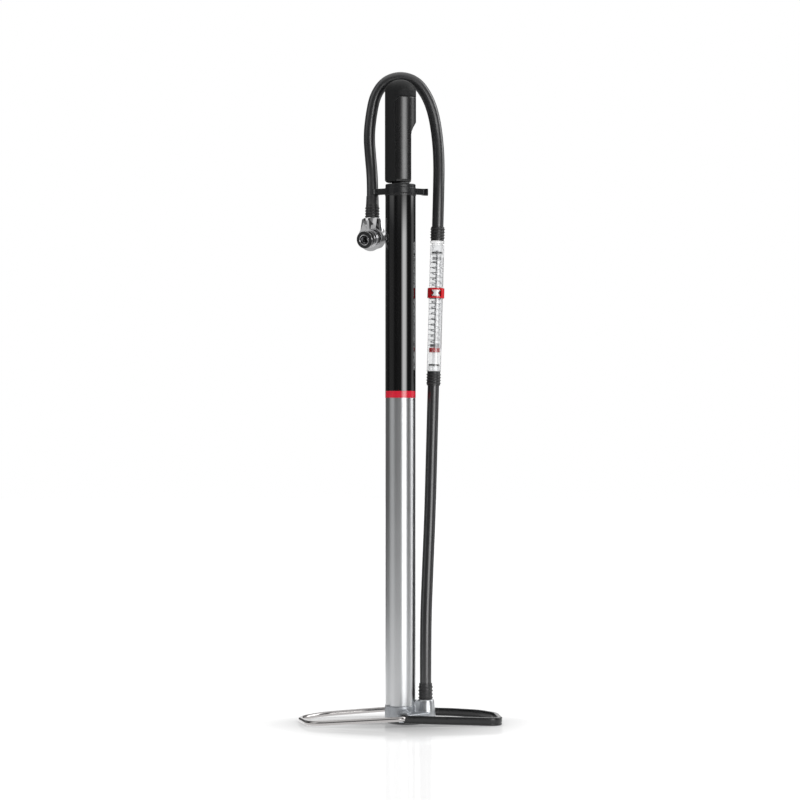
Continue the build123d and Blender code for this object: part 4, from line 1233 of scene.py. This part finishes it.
@dataclass
class Hoses:
    """The two rubber hoses and the ribbed sleeves that hold their ends."""

    radius: float = 5.75
    sleeve_bore_r: float = 3.0
    sleeve_r: float = 6.5
    foot_flare: float = 0.15
    tail_step: float = 0.1
    tail_taper: float = 0.35
    rib_r: float = 7.3
    ribs: int = 4
    first_rib: float = 0.85
    base_sleeve: float = 17.5
    boss_head_z: float = 21.0
    head_tail: float = 9.0
    lower_length: float = 0.298
    upper_length: float = 0.305

    def cord(self, name: str, route: Sequence[tuple[float, float, float]]) -> bpy.types.Object:
        """Make a hose as a smooth curve along its route, in metres."""
        curve = bpy.data.curves.new(name, "CURVE")
        curve.dimensions = "3D"
        curve.bevel_depth = self.radius * MM
        curve.bevel_resolution = 10
        curve.resolution_u = 16
        curve.use_fill_caps = True
        spline = curve.splines.new("NURBS")
        spline.points.add(len(route) - 1)
        for point, place in zip(spline.points, route):
            point.co = (*place, 1.0)
        spline.order_u = 3
        spline.use_endpoint_u = True
        piece = bpy.data.objects.new(name, curve)
        bpy.context.scene.collection.objects.link(piece)
        return piece

    def build(self) -> None:
        lower = placed(self.cord("hose_lower", LOWER_ROUTE), "pump", "hose_rubber", "hose_rubber", "lower_hose")
        upper = placed(self.cord("hose_upper", UPPER_ROUTE), "pump", "hose_rubber", "hose_rubber", "upper_hose")

    def sleeve(self, name: str, node: str, spindle: Spindle, length: float, tail: float = 0.0) -> None:
        """Make one ribbed sleeve.

        Args:
            name: The piece's name.
            node: The CAD node that it replaces.
            spindle: Its foot and direction.
            length: Length of its ribbed part.
            tail: Length of the plain strain relief above the ribs.
        """
        bore, body = self.sleeve_bore_r, self.sleeve_r
        outline = [(bore, 0.0), (body + self.foot_flare, 0.0, 0.4), (body, length, 0.3)]
        if tail:
            outline += [(body - self.tail_step, length + 2 * self.tail_step),
                        (body - self.tail_taper, length + tail, 0.3)]
        outline += [(bore, length + tail)]
        piece = lathe(name, MIDDLE, rounded(outline), segments=96, ring=True)
        pitch = length / (self.ribs + 1)
        piece = GROWTH.grow("ribs", piece, "seal_rubber", spindle, Count=self.ribs, First=pitch * self.first_rib,
                            Pitch=pitch, Radius=body, Thickness=self.rib_r - body)
        placed(piece, "pump", "seal_rubber", "", node)

    def dress(self) -> None:
        """Put the sleeves on the hoses' ends."""
        boss = Spindle(Vector((LOWER_ROUTE[0][0] / MM, 0.0, self.boss_head_z)))
        self.sleeve("sleeve_base", "base_hose_sleeve", boss, self.base_sleeve)
        self.sleeve("sleeve_gauge_low", "gauge_lower_sleeve", Spindle(HOSE_FOOT, GAUGE_AXIS), GAUGE_SLEEVE)
        self.sleeve("sleeve_gauge_top", "gauge_upper_sleeve", Spindle(HOSE_HEAD, -GAUGE_AXIS), GAUGE_SLEEVE)
        room = (Vector(UPPER_ROUTE[-1]) / MM - HEAD_CENTRE).length - NECK_LENGTH
        self.sleeve("sleeve_head", "chuck_hose_sleeve", NECK.moved(NECK_LENGTH), room - self.head_tail,
                    tail=self.head_tail)


@dataclass
class Barrel:
    """Aluminium tube with its dark gloss sleeve and red band."""

    tube_r: float = 15.0
    bore_r: float = 13.5
    skin_r: float = 15.25
    foot_z: float = 16.5
    head_z: float = 525.2
    band_z: float = 323.8
    band_height: float = 6.8
    tube_edge: float = 0.3
    skin_edge: float = 0.08
    notch: tuple[float, float] = (6.55, 5.55)
    segments: int = 192

    def build(self) -> None:
        """Make the tube, the sleeve and the band."""
        outline = tube_outline(self.bore_r, self.tube_r, self.foot_z, self.head_z, self.tube_edge)
        tube = lathe("barrel_tube", MIDDLE, outline, self.segments, ring=True)
        half, height = self.notch
        low = (self.tube_r / 2, -half, self.foot_z - 1)
        carve(tube, block("notch", low, (self.tube_r * 1.5, half, self.foot_z + height)))
        placed(tube, "pump", "polished_aluminium", "polished_aluminium", "barrel")
        band_top = self.band_z + self.band_height
        for name, node, finish, low_z, high_z in (
            ("barrel_skin", "barrel_sleeve", "black_gloss", band_top, self.head_z),
            ("barrel_band", "colour_band", "colour_band", self.band_z, band_top),
        ):
            outline = tube_outline(self.tube_r, self.skin_r, low_z, high_z, self.skin_edge)
            placed(lathe(name, MIDDLE, outline, self.segments, ring=True), "pump", finish, finish, node)


@dataclass
class Cap:
    """Screwed cap, knurled lock ring, rod wiper and the clip that holds the hose."""

    rim_z: float = 533.8
    top_z: float = 537.2
    rim_r: float = 15.1
    skirt: float = 20.0
    throat_r: float = 7.5
    wiper_r: float = 9.0
    wiper_step: float = 1.4
    wiper_lip: float = 1.0
    wiper_top: float = 541.0
    rod_gap_r: float = 5.05
    ring_z: float = 525.2
    ring_height: float = 2.4
    ring_r: float = 15.1
    neck_r: float = 13.45
    knurls: int = 48
    knurl_depth: float = 0.75
    knurl_width: float = 0.95
    knurl_margin: float = 0.5
    collar_r: float = 15.4

    def build(self, nodes: dict[str, bpy.types.Object]) -> None:
        """Make the cap's pieces from the top down."""
        outline = rounded([
            (self.neck_r, self.rim_z - self.skirt), (self.neck_r, self.rim_z), (self.rim_r, self.rim_z, 0.2),
            (self.rim_r, self.top_z, 0.9), (self.wiper_r, self.top_z), (self.throat_r, self.top_z),
            (self.throat_r, self.rim_z - self.skirt),
        ])
        cap = lathe("cap_rim", MIDDLE, outline, segments=160, ring=True)
        placed(cap, "pump", "black_plastic", "black_plastic", "top_cap")
        outline = rounded([
            (self.rod_gap_r, self.top_z), (self.wiper_r, self.top_z),
            (self.wiper_r, self.top_z + self.wiper_step, 0.6),
            (self.rod_gap_r + self.wiper_lip, self.wiper_top, 0.3), (self.rod_gap_r, self.wiper_top),
        ])
        placed(lathe("wiper", MIDDLE, outline, ring=True), "pump", "seal_rubber", "seal_rubber", "rod_wiper")
        outline = tube_outline(self.neck_r, self.ring_r, 0.0, self.ring_height, 0.15)
        ring = lathe("lock_ring", MIDDLE, outline, ring=True)
        ring = GROWTH.grow("ridges", ring, "knurled_black", MIDDLE.moved(self.ring_z), Count=self.knurls,
                           Radius=self.ring_r, Lift=self.ring_height / 2, Depth=self.knurl_depth,
                           Width=self.knurl_width, Height=self.ring_height - self.knurl_margin)
        placed(ring, "pump", "black_plastic", "", "cap_lock_ring")
        clip = cast_copy("hose_clip", nodes["clip_collar"], voxel=0.38, rounds=5)
        trued(clip, MIDDLE, self.collar_r)
        placed(clip, "pump", "black_plastic", "black_plastic", "clip_collar")


@dataclass
class Plunger:
    """Piston rod and hinge block."""

    rod_r: float = 5.0
    rod_bore_r: float = 3.6
    rod_foot: float = 26.0
    rod_top: float = 582.0

    def build(self, nodes: dict[str, bpy.types.Object]) -> None:
        """Make the rod and the hinge block."""
        outline = tube_outline(self.rod_bore_r, self.rod_r, self.rod_foot, self.rod_top, 0.3)
        rod = lathe("plunger_rod", MIDDLE, outline, ring=True)
        placed(rod, "plunger", "chrome", "chrome", "piston_rod")
        knuckle = cast_copy("hinge_knuckle", nodes["hinge_block"], voxel=0.4, rounds=4)
        placed(knuckle, "plunger", "cast_metal", "cast_metal", "hinge_block")


@dataclass
class Handle:
    """Folding handle: hard panel and core, soft grip over the side and the dome, and the pivot pin."""

    radius: float = 15.6
    foot_z: float = 538.8
    head_z: float = 641.8
    dome: float = 12.4
    edge: float = 3.0
    pivot_z: float = 590.0
    slot_half: float = 10.6
    slot_back: float = -9.5
    arch_z: float = 588.2
    wall: float = 1.5
    grip_x: float = -4.8
    grip_z: float = 624.0
    corner: float = 5.0
    seam: float = 0.22
    sink: float = 0.04
    bond: float = 0.05
    pin_r: float = 1.6
    pin_play: float = 0.35
    pin_inset: float = 0.25
    bore_half: float = 20.0
    spare: float = 5.0
    voxel: float = 0.48
    rounds: int = 4
    dome_steps: int = 12
    arch_steps: int = 24

    def form(self, name: str, inset: float) -> bpy.types.Object:
        """The turned form, moved inwards by an inset."""
        radius = self.radius - inset
        foot = self.foot_z + inset
        shoulder = self.head_z - self.dome
        outline = rounded([(0.0, foot), (radius, foot, self.edge), (radius, shoulder)], closed=False)
        rise = self.dome - inset
        for step in range(1, self.dome_steps):
            angle = math.pi / 2 * step / self.dome_steps
            outline.append((radius * math.cos(angle), shoulder + rise * math.sin(angle)))
        return lathe(name, MIDDLE, outline + [(0.0, shoulder + rise)])

    def slot(self) -> bpy.types.Object:
        """The slot that the rod folds into."""
        half, low = self.slot_half, self.foot_z - 2 * self.spare
        angles = [math.pi * step / self.arch_steps for step in range(self.arch_steps + 1)]
        arch = [(half * math.cos(angle), self.arch_z + half * math.sin(angle)) for angle in angles]
        outline = [(half, low), *arch, (-half, low)]
        return prism("slot", ORIGIN, ACROSS, UP, outline, self.slot_back, 2 * self.radius)

    def panel(self, name: str, grow: float) -> bpy.types.Object:
        """The region of the hard panel, with one rounded corner."""
        far, low_z = 2 * self.radius, self.foot_z - self.spare
        low_x, top_z = self.grip_x - grow, self.grip_z + grow
        outline = rounded([(low_x, low_z), (far, low_z), (far, top_z), (low_x, top_z, self.corner + grow)], steps=10)
        return prism(name, ORIGIN, SIDEWAYS, UP, outline, -far, far)

    def build(self) -> None:
        """Make the grip, the hard body and the pin."""
        grip = carve(self.form("handle_soft_grip", 0.0), self.form("core", self.wall))
        carve(grip, self.panel("window", 0.0))
        carve(grip, self.slot())
        moulded(grip, self.voxel, self.rounds)
        trued(grip, MIDDLE, self.radius)
        placed(grip, "handle", "soft_grip", "soft_grip", "handle_grip")
        body = carve(self.form("handle_shell", self.sink), self.panel("inlay", -self.seam), "INTERSECT")
        carve(body, self.form("core", self.wall + self.bond), "UNION")
        carve(body, self.slot())
        pivot = Spindle(UP * self.pivot_z, ACROSS)
        carve(body, drill(pivot, self.pin_r + self.pin_play, -self.bore_half, self.bore_half))
        moulded(body, self.voxel, self.rounds)
        trued(body, MIDDLE, self.radius - self.sink)
        placed(body, "handle", "black_plastic", "handle_gloss", "handle_body")
        reach = self.radius - self.pin_inset
        outline = rounded([(0, -reach), (self.pin_r, -reach, 0.4), (self.pin_r, reach, 0.4), (0, reach)], closed=False)
        placed(lathe("hinge_pin", pivot, outline, segments=48), "handle", "steel", "steel", "handle_pin")


@dataclass
class Base:
    """Cast base, rubber pad and the toothed washers on the foot pivots."""

    hub_end: float = 32.0
    washer_r: float = 7.4
    washer_wall: float = 2.8
    axle_r: float = 2.55
    teeth: int = 14
    tooth_depth: float = 2.2
    tooth_width: float = 1.5
    tooth_margin: float = 0.4
    boss_x: float = 25.5
    boss_bore_r: float = 6.6
    boss_low: float = 5.6
    boss_low_r: float = 9.7
    boss_top: float = 22.3
    boss_top_r: float = 8.0

    def build(self, nodes: dict[str, bpy.types.Object]) -> None:
        """Make the casting, the pad and both washers."""
        casting = cast_copy("base_cast", nodes["base_casting"], voxel=0.5, rounds=6)
        placed(casting, "pump", "cast_metal", "cast_metal", "base_casting")
        outline = rounded([(self.boss_bore_r, self.boss_low), (self.boss_low_r, self.boss_low, 0.3),
                           (self.boss_top_r, self.boss_top, 0.8), (self.boss_bore_r, self.boss_top)])
        boss = lathe("hose_boss", Spindle(SIDEWAYS * self.boss_x), outline, ring=True)
        placed(boss, "pump", "cast_metal", "satin_metal")
        pad = cast_copy("floor_pad", nodes["base_pad"], voxel=0.55, rounds=3)
        placed(pad, "pump", "seal_rubber", "seal_rubber", "base_pad")
        root_r = self.washer_r - self.tooth_depth / 2
        for name, side, replaced in (("washer_front", -1, ["detent_washers"]), ("washer_back", 1, [])):
            spindle = Spindle(AXLE + ACROSS * side * self.hub_end, ACROSS * side)
            outline = tube_outline(self.axle_r, root_r, 0.0, self.washer_wall, 0.3)
            washer = lathe(name, MIDDLE, outline, segments=96, ring=True)
            washer = GROWTH.grow("ridges", washer, "chrome", spindle, Count=self.teeth, Radius=root_r,
                                 Lift=self.washer_wall / 2, Depth=self.tooth_depth, Width=self.tooth_width,
                                 Height=self.washer_wall - self.tooth_margin)
            placed(washer, "pump", "steel", "", *replaced)


@dataclass
class Feet:
    """The bent wire foot and the bar foot, which fold on one axle.

    A foot's nose and corner are places before its reach and to the back; its bends are the radii in turn.
    """

    wire_r: float = 2.5
    wire_reach: float = 103.0
    wire_y: float = 46.8
    wire_front: float = 11.0
    wire_nose: tuple[float, float] = (-1.6, 6.0)
    wire_corner: tuple[float, float] = (23.0, 33.0)
    wire_back: float = 18.0
    wire_bends: tuple[float, ...] = (5.3, 20.0, 26.0, 40.0, 30.0, 5.3)
    pin_depth: float = 16.3
    bar_thick: float = 4.6
    bar_height: float = 8.0
    bar_y: float = 38.3
    bar_reach: float = 101.5
    bar_drop: float = 6.4
    bar_nose: tuple[float, float] = (4.0, 8.0)
    bar_corner: tuple[float, float] = (20.0, 29.0)
    bar_back: tuple[float, float] = (48.0, 37.0)
    bar_bends: tuple[float, ...] = (10.0, 22.0, 20.0, 45.0)
    bar_edge: float = 0.9
    eye_r: float = 6.3
    eye_half: float = 2.9
    eye_bore_r: float = 3.75
    groove: tuple[float, float, float] = (0.45, 0.8, 1.8)

    def wire(self) -> None:
        """Bend the wire foot."""
        slope = (AXLE.z - self.wire_r) / (self.wire_reach + AXLE.x - self.wire_r)
        out = Vector((-1.0, 0.0, -slope)).normalized()
        reach = (self.wire_reach + AXLE.x - self.wire_r) * math.hypot(1, slope)
        end, side = self.pin_depth, self.wire_y
        front = [(reach - before, aside) for before, aside in
                 ((self.wire_front, -side), self.wire_nose, self.wire_corner)]
        flat = [(0, -end), (0, -side), *front, (self.wire_back, side), (0, side), (0, end)]
        points = [AXLE + out * u + ACROSS * v for u, v in flat]
        path = filleted_path(points, self.wire_bends)
        piece = sweep("wire_stirrup", path, circle(self.wire_r, 28), out.cross(ACROSS))
        placed(piece, "wire_foot", "chrome", "dark_chrome", "wire_foot")

    def bar_section(self) -> Outline:
        """Section of the bar, with a groove below its lip on both sides."""
        half, top = self.bar_thick / 2, self.bar_height / 2
        depth, width, lip = self.groove
        edge = self.bar_edge
        right = [(half, -top, edge), (half, top - lip - width, 0.2), (half - depth, top - lip - width),
                 (half - depth, top - lip), (half, top - lip, 0.2), (half, top, edge)]
        left = [(-point[0], *point[1:]) for point in reversed(right)]
        return rounded(right + left, steps=3)

    def bar(self) -> None:
        """Sweep the bar foot and join its two eyes."""
        slope = (self.bar_drop - self.bar_height / 2) / (self.bar_reach - AXLE.x)
        out = Vector((1.0, 0.0, -slope)).normalized()
        length = self.bar_reach - AXLE.x - self.bar_thick / 2
        side = self.bar_y
        bends = [(length - before, aside) for before, aside in (self.bar_nose, self.bar_corner, self.bar_back)]
        flat = [(0, -side), (length, -side), *bends, (0, side)]
        origin = Vector((AXLE.x, 0.0, self.bar_drop))
        points = [origin + out * u + ACROSS * v for u, v in flat]
        path = filleted_path(points, self.bar_bends)
        piece = sweep("bar_stirrup", path, self.bar_section(), -out.cross(ACROSS))
        for end in (-1, 1):
            spindle = Spindle(AXLE + ACROSS * end * (side - self.eye_half), ACROSS * end)
            outline = rounded([(0, 0), (self.eye_r, 0, 0.6), (self.eye_r, 2 * self.eye_half, 0.8),
                               (0, 2 * self.eye_half)], closed=False)
            carve(piece, lathe("eye", spindle, outline, segments=72), "UNION")
            carve(piece, drill(spindle, self.eye_bore_r, -4.0, 12.0))
        placed(piece, "bar_foot", "black_paint", "black_paint", "bar_foot")


@dataclass
class Gauge:
    """In-line gauge: clear tube, plugs, spring, indicator, printed scale and the sliding marker."""

    radius: float = 7.0
    bore_r: float = 5.7
    fit: float = 0.02
    length: float = 131.133
    tube_low: float = 0.6
    tube_margin: float = 4.3
    top_plug: float = 14.7
    top_groove: float = 1.6
    top_seat_r: float = 3.8
    top_neck_r: float = 5.3
    top_collar: float = 2.7
    low_plug: float = 5.5
    low_seat_r: float = 3.4
    guide_r: float = 1.8
    guide_bore_r: float = 1.2
    seal: float = 1.9
    seal_play: float = 0.1
    indicator: float = 19.2
    indicator_length: float = 4.4
    indicator_bore_r: float = 1.05
    indicator_play: float = 0.05
    spring_low: float = 24.0
    spring_gap: float = 1.0
    spring_r: float = 4.2
    wire: float = 0.42
    turns: float = 21.0
    end_share: float = 0.15
    end_height: float = 3.4
    spring_keep: float = 0.18
    marker: float = 73.4
    marker_length: float = 10.2
    marker_r: float = 8.5
    marker_play: float = 0.06
    window: tuple[float, float] = (10.2, 6.4)
    window_edge: float = 0.5
    window_steps: int = 8
    plate: tuple[float, float] = (0.08, 0.2)
    pointer_steps: int = 6
    pointer_tip: float = 0.1
    ink: float = 0.1
    scale_low: float = 26.0
    scale_pitch: float = 5.2
    scale_count: int = 17
    mark_from: float = -156.0
    mark_sweep: float = 68.0
    mark_height: float = 0.55
    mark_lift: float = 0.04
    ground: tuple[float, float] = (5.0, 88.0)
    ground_start: float = 3.0
    ground_steps: int = 16
    ground_skin: tuple[float, float] = (-0.02, 0.03)
    number_size: float = 2.6
    number_angle: float = 38.0
    number_lift: float = 0.05
    number_depth: float = 0.03

    def build(self) -> None:
        """Make the gauge's fixed pieces."""
        tube_top = self.length - self.tube_margin
        outline = rounded([(self.bore_r, self.tube_low), (self.radius, self.tube_low, 0.3),
                           (self.radius, tube_top, 0.3), (self.bore_r, tube_top)])
        tube = lathe("gauge_glass", GAUGE, outline, segments=128, ring=True)
        placed(tube, "pump", "clear_plastic", "clear_plastic", "gauge_tube")
        plug_r = self.bore_r - self.fit
        seal = self.low_plug + self.seal
        guide_top = self.indicator - 3 * self.seal_play
        outline = rounded([
            (self.guide_bore_r, 0), (self.radius, 0, 0.2), (self.radius, self.tube_low), (plug_r, self.tube_low),
            (plug_r, self.low_plug, 0.3), (self.low_seat_r, self.low_plug), (self.low_seat_r, seal),
            (self.guide_r, seal), (self.guide_r, guide_top), (self.guide_bore_r, guide_top),
        ])
        low = lathe("gauge_plug_low", GAUGE, outline, ring=True)
        placed(low, "pump", "grey_plastic", "milky_plastic", "gauge_lower_plug")
        start = self.length - self.top_plug
        groove = start + self.top_groove
        collar = self.length - self.top_collar
        outline = rounded([
            (0, start), (plug_r, start, 0.3), (plug_r, groove), (self.top_seat_r, groove),
            (self.top_seat_r, groove + self.seal), (plug_r, groove + self.seal), (plug_r, tube_top),
            (self.top_neck_r, tube_top), (self.top_neck_r, collar), (self.radius, collar, 0.3),
            (self.radius, self.length, 0.3), (0, self.length),
        ], closed=False)
        top = lathe("gauge_plug_top", GAUGE, outline)
        placed(top, "pump", "grey_plastic", "milky_plastic", "gauge_upper_plug")
        seals = []
        for seat, inner in ((self.low_plug, self.low_seat_r), (groove, self.top_seat_r)):
            low_z, high_z = seat + self.seal_play, seat + self.seal - self.seal_play
            outline = tube_outline(inner, plug_r, low_z, high_z, 0.8)
            seals.append(lathe("gauge_seals", GAUGE, outline, segments=96, ring=True))
        carve(seals[0], seals[1], "UNION")
        placed(seals[0], "pump", "seal_rubber", "seal_rubber", "gauge_seal_rings")
        self.spring(start)
        self.scale()

    def spring(self, top: float) -> None:
        """Wind the gauge's spring."""
        head = top - self.spring_gap
        foot = GAUGE.moved(self.spring_low + self.wire)
        coil = GROWTH.grow("coil", empty_piece("gauge_coil"), "spring_steel", foot, Radius=self.spring_r,
                           Wire=self.wire, Turns=self.turns, Height=head - self.spring_low - 2 * self.wire,
                           End_Share=self.end_share, End_Height=self.end_height)
        placed(coil, "pump", "steel", "", "gauge_spring")
        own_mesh(coil)

    def scale(self) -> None:
        """Print the scale's marks, its pale ground and plain numbers on the tube."""
        marks = GROWTH.grow("marks", empty_piece("scale_marks"), "scale_ink", GAUGE, Count=self.scale_count,
                            First=self.scale_low, Pitch=self.scale_pitch, Radius=self.radius + self.mark_lift,
                            From=math.radians(self.mark_from), Sweep=math.radians(self.mark_sweep),
                            Thickness=self.mark_height)
        placed(marks, "pump", "clear_plastic", "")
        shape = bmesh.new()
        start, end = self.ground
        low, high = self.scale_low - self.ground_start, self.scale_low + self.scale_pitch * self.scale_count
        rows = [(math.radians(start + (end - start) * step / self.ground_steps), low, high)
                for step in range(self.ground_steps + 1)]
        self.bent(shape, GAUGE, tuple(self.radius + skin for skin in self.ground_skin), rows)
        placed(from_bmesh("scale_ground", shape), "pump", "clear_plastic", "milky_plastic")
        shape = bmesh.new()
        for index in range(self.scale_count):
            self.numeral(shape, str(index + 1), self.scale_low + index * self.scale_pitch)
        placed(from_bmesh("scale_numbers", shape), "pump", "clear_plastic", "scale_ink")

    def numeral(self, shape: bmesh.types.BMesh, text: str, along: float) -> None:
        """Add a number to the scale's mesh, bent round the tube.

        Args:
            shape: The mesh that collects the numbers.
            text: The number.
            along: Its distance up the gauge's axis.
        """
        curve = bpy.data.curves.new("numeral", "FONT")
        curve.body = text
        curve.size = self.number_size
        curve.align_x = "CENTER"
        curve.align_y = "CENTER"
        curve.extrude = self.number_depth
        curve.resolution_u = 2
        letter = bpy.data.objects.new("numeral", curve)
        bpy.context.scene.collection.objects.link(letter)
        mesh = bpy.data.meshes.new_from_object(letter)
        for vertex in mesh.vertices:
            angle = math.radians(self.number_angle) + vertex.co.x / self.radius
            radius = self.radius + self.number_lift + vertex.co.z
            vertex.co = GAUGE.at(radius, angle, along + vertex.co.y) * MM
        shape.from_mesh(mesh)
        bpy.data.objects.remove(letter)

    def sliders(self) -> None:
        """Make the indicator and the marker ring with its two pointers."""
        outline = tube_outline(self.indicator_bore_r, self.bore_r - self.indicator_play, self.indicator,
                               self.indicator + self.indicator_length, 0.3)
        disc = lathe("indicator_disc", GAUGE, outline, ring=True)
        placed(disc, "gauge_indicator", "red_plastic", "red_plastic", "gauge_indicator")
        end = self.marker + self.marker_length
        outline = tube_outline(self.radius + self.marker_play, self.marker_r, self.marker, end, 0.4)
        ring = lathe("marker_ring", GAUGE, outline, segments=160, ring=True)
        middle = GAUGE.moved(self.marker + self.marker_length / 2)
        width, height = self.window[0] / 2, self.window[1] / 2
        outline = rounded([(side * width, rise * height, self.window_edge)
                           for side, rise in ((-1, -1), (1, -1), (1, 1), (-1, 1))])
        carve(ring, prism("window", middle.foot, GAUGE.aside, GAUGE.axis, outline, 0.0, 2 * self.marker_r))
        placed(ring, "gauge_marker", "red_plastic", "red_plastic", "gauge_marker")
        wide = math.asin(width / self.marker_r)
        shape = bmesh.new()
        self.bent(shape, middle, tuple(self.radius + skin for skin in self.plate),
                  [(wide * step / self.window_steps, -height, height)
                   for step in range(-self.window_steps, self.window_steps + 1)])
        placed(from_bmesh("marker_glass", shape), "gauge_marker", "red_plastic", "white_print")
        for name, finish, reach, share, lift in (("marker_pointers", "scale_ink", 0.56, 1.0, 0.3),
                                                 ("marker_arrows", "red_plastic", 0.34, 0.52, 0.45)):
            shape = bmesh.new()
            for side in (-1, 1):
                rows = []
                for step in range(self.pointer_steps + 1):
                    gone = step / self.pointer_steps
                    half = height * share * (1 - gone) + self.pointer_tip
                    rows.append((side * wide * (1 - reach * gone), -half, half))
                self.bent(shape, middle, (self.radius + lift - self.ink, self.radius + lift), rows)
            placed(from_bmesh(name, shape), "gauge_marker", "red_plastic", finish)

    def bent(self, shape: bmesh.types.BMesh, spindle: Spindle, radii: tuple[float, float],
             rows: list[tuple[float, float, float]]) -> None:
        """Add a thin plate bent round an axis.

        Args:
            shape: The mesh that gets the plate.
            spindle: The axis.
            radii: The plate's inner and outer radius.
            rows: Angle, low end and high end of each of its lines.
        """
        inner, outer = radii
        rings = []
        for angle, low, high in rows:
            spots = ((inner, low), (inner, high), (outer, high), (outer, low))
            rings.append([shape.verts.new(spindle.at(radius, angle, along) * MM) for radius, along in spots])
        loft(shape, rings)


@dataclass
class HoseHead:
    """Chromed hose head with a faceted neck, a turning knob behind and a black nozzle in front."""

    radius: float = 13.0
    half_depth: float = 5.0
    edge: float = 0.55
    cavity_r: float = 6.4
    cavity_back: float = -3.0
    cavity_front: float = 30.0
    neck_root_r: float = 12.74
    neck_r: float = 10.3
    neck_lip_r: float = 9.7
    neck_lip: float = 0.6
    facets: int = 12
    facet_turn: float = 6.3
    reach: float = 17.2
    flange: float = 1.6
    insert_back: float = 1.5
    insert_play: float = 0.05
    nozzle_r: float = 8.6
    nozzle_neck_r: float = 7.6
    insert_r: float = 5.4
    valve_r: float = 4.6
    ring_length: float = 8.0
    knob_r: float = 12.0
    knob_depth: float = 4.5
    knob_gap: float = 0.4
    knob_draft: float = 0.3
    dish_rim: float = 4.0
    dish_slope: float = 1.0
    dish_depth: float = 0.8

    def neck(self) -> bpy.types.Object:
        """The faceted neck, trimmed where the drum and the knob stand."""
        shape = bmesh.new()
        rows = []
        sizes = ((0.0, self.neck_root_r), (NECK_LENGTH - self.neck_lip, self.neck_r), (NECK_LENGTH, self.neck_lip_r))
        facet = 2 * math.pi / self.facets
        for distance, radius in sizes:
            angles = (math.radians(self.facet_turn) + facet * index for index in range(self.facets))
            rows.append([shape.verts.new(NECK.at(radius, angle, distance) * MM) for angle in angles])
        loft(shape, rows)
        neck = from_bmesh("neck", shape)
        far = 3 * self.radius
        for share, low, high in ((1.4, self.half_depth, far), (2.0, -far, -self.half_depth)):
            carve(neck, drill(NOZZLE, share * self.radius, low, high, segments=96))
        return neck

    def build(self) -> None:
        """Make the body, the knob and the nozzle."""
        drum = drill(NOZZLE, self.radius, -self.half_depth, self.half_depth, segments=128)
        drum.name = "head_body"
        body = carve(drum, self.neck(), "UNION")
        carve(body, drill(NOZZLE, self.cavity_r, self.cavity_back, self.cavity_front, segments=96))
        soften(body, self.edge)
        placed(body, "pump", "chrome", "chrome", "chuck_body")
        front = -self.half_depth - self.knob_gap
        back = front - self.knob_depth
        rim_r, dish = self.knob_r - self.dish_rim, back + self.dish_depth
        outline = rounded([
            (0, front), (self.knob_r - self.knob_draft, front, 0.6), (self.knob_r, back, 1.8),
            (rim_r, back, 0.6), (rim_r - self.dish_slope, dish, 0.6), (0, dish),
        ], closed=False)
        knob = lathe("head_knob", NOZZLE, outline, segments=128)
        placed(knob, "chuck_knob", "chrome", "chrome", "chuck_knob")
        start = self.reach - self.flange
        insert = self.cavity_r - self.insert_play
        outline = rounded([
            (self.insert_r, self.insert_back), (insert, self.insert_back), (insert, self.half_depth),
            (self.nozzle_neck_r, self.half_depth, 0.3), (self.nozzle_neck_r, start), (self.nozzle_r, start, 0.5),
            (self.nozzle_r, self.reach, 0.9), (self.insert_r, self.reach),
        ])
        nozzle = lathe("nozzle_collar", NOZZLE, outline, ring=True)
        placed(nozzle, "pump", "black_plastic", "black_plastic", "chuck_nozzle")
        liner, low = self.insert_r - 0.02, self.reach - self.ring_length
        outline = rounded([(self.valve_r, low), (liner, low), (liner, self.reach, 0.3),
                           (self.valve_r, self.reach, 0.5)])
        ring = lathe("nozzle_liner", NOZZLE, outline, ring=True)
        placed(ring, "pump", "chrome", "chrome", "chuck_nozzle_ring")
        face = self.half_depth
        for name, low, high, radius in (("nozzle_band", start - 1.3, start, self.nozzle_r - 0.1),
                                        ("nozzle_shoulder", face + 0.1, face + 1.2, 8.9),
                                        ("nozzle_bead", face + 3.0, face + 3.7, 8.1)):
            outline = tube_outline(self.nozzle_neck_r - 0.3, radius, low, high, 0.3)
            placed(lathe(name, NOZZLE, outline, ring=True), "pump", "chrome", "chrome")


def paint_nodes(frame: dict) -> None:
    """Give every CAD node the finish of its material slot."""
    for part in frame["record"]["subparts"]:
        node = frame["nodes"][part["node"]]
        for slot in node.material_slots:
            slot.material = PAINT.get(part["material_slot"])
        LOG.info("%s keeps its CAD shape, finish %s", part["node"], part["material_slot"])


def main() -> None:
    """Build the whole picture, camera and hoses first."""
    logging.basicConfig(level=logging.INFO, format="%(name)s: %(message)s")
    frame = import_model()
    nodes = frame["nodes"]
    studio = Studio()
    studio.place_camera()
    hoses = Hoses()
    hoses.build()
    paint_nodes(frame)
    hoses.dress()
    Barrel().build()
    Cap().build(nodes)
    Plunger().build(nodes)
    Handle().build()
    Base().build(nodes)
    feet = Feet()
    feet.wire()
    feet.bar()
    gauge = Gauge()
    gauge.build()
    gauge.sliders()
    HoseHead().build()
    studio.light()
    studio.lay_floor()
    studio.lay_card()
    studio.set_look()


if __name__ == "__main__":
    main()
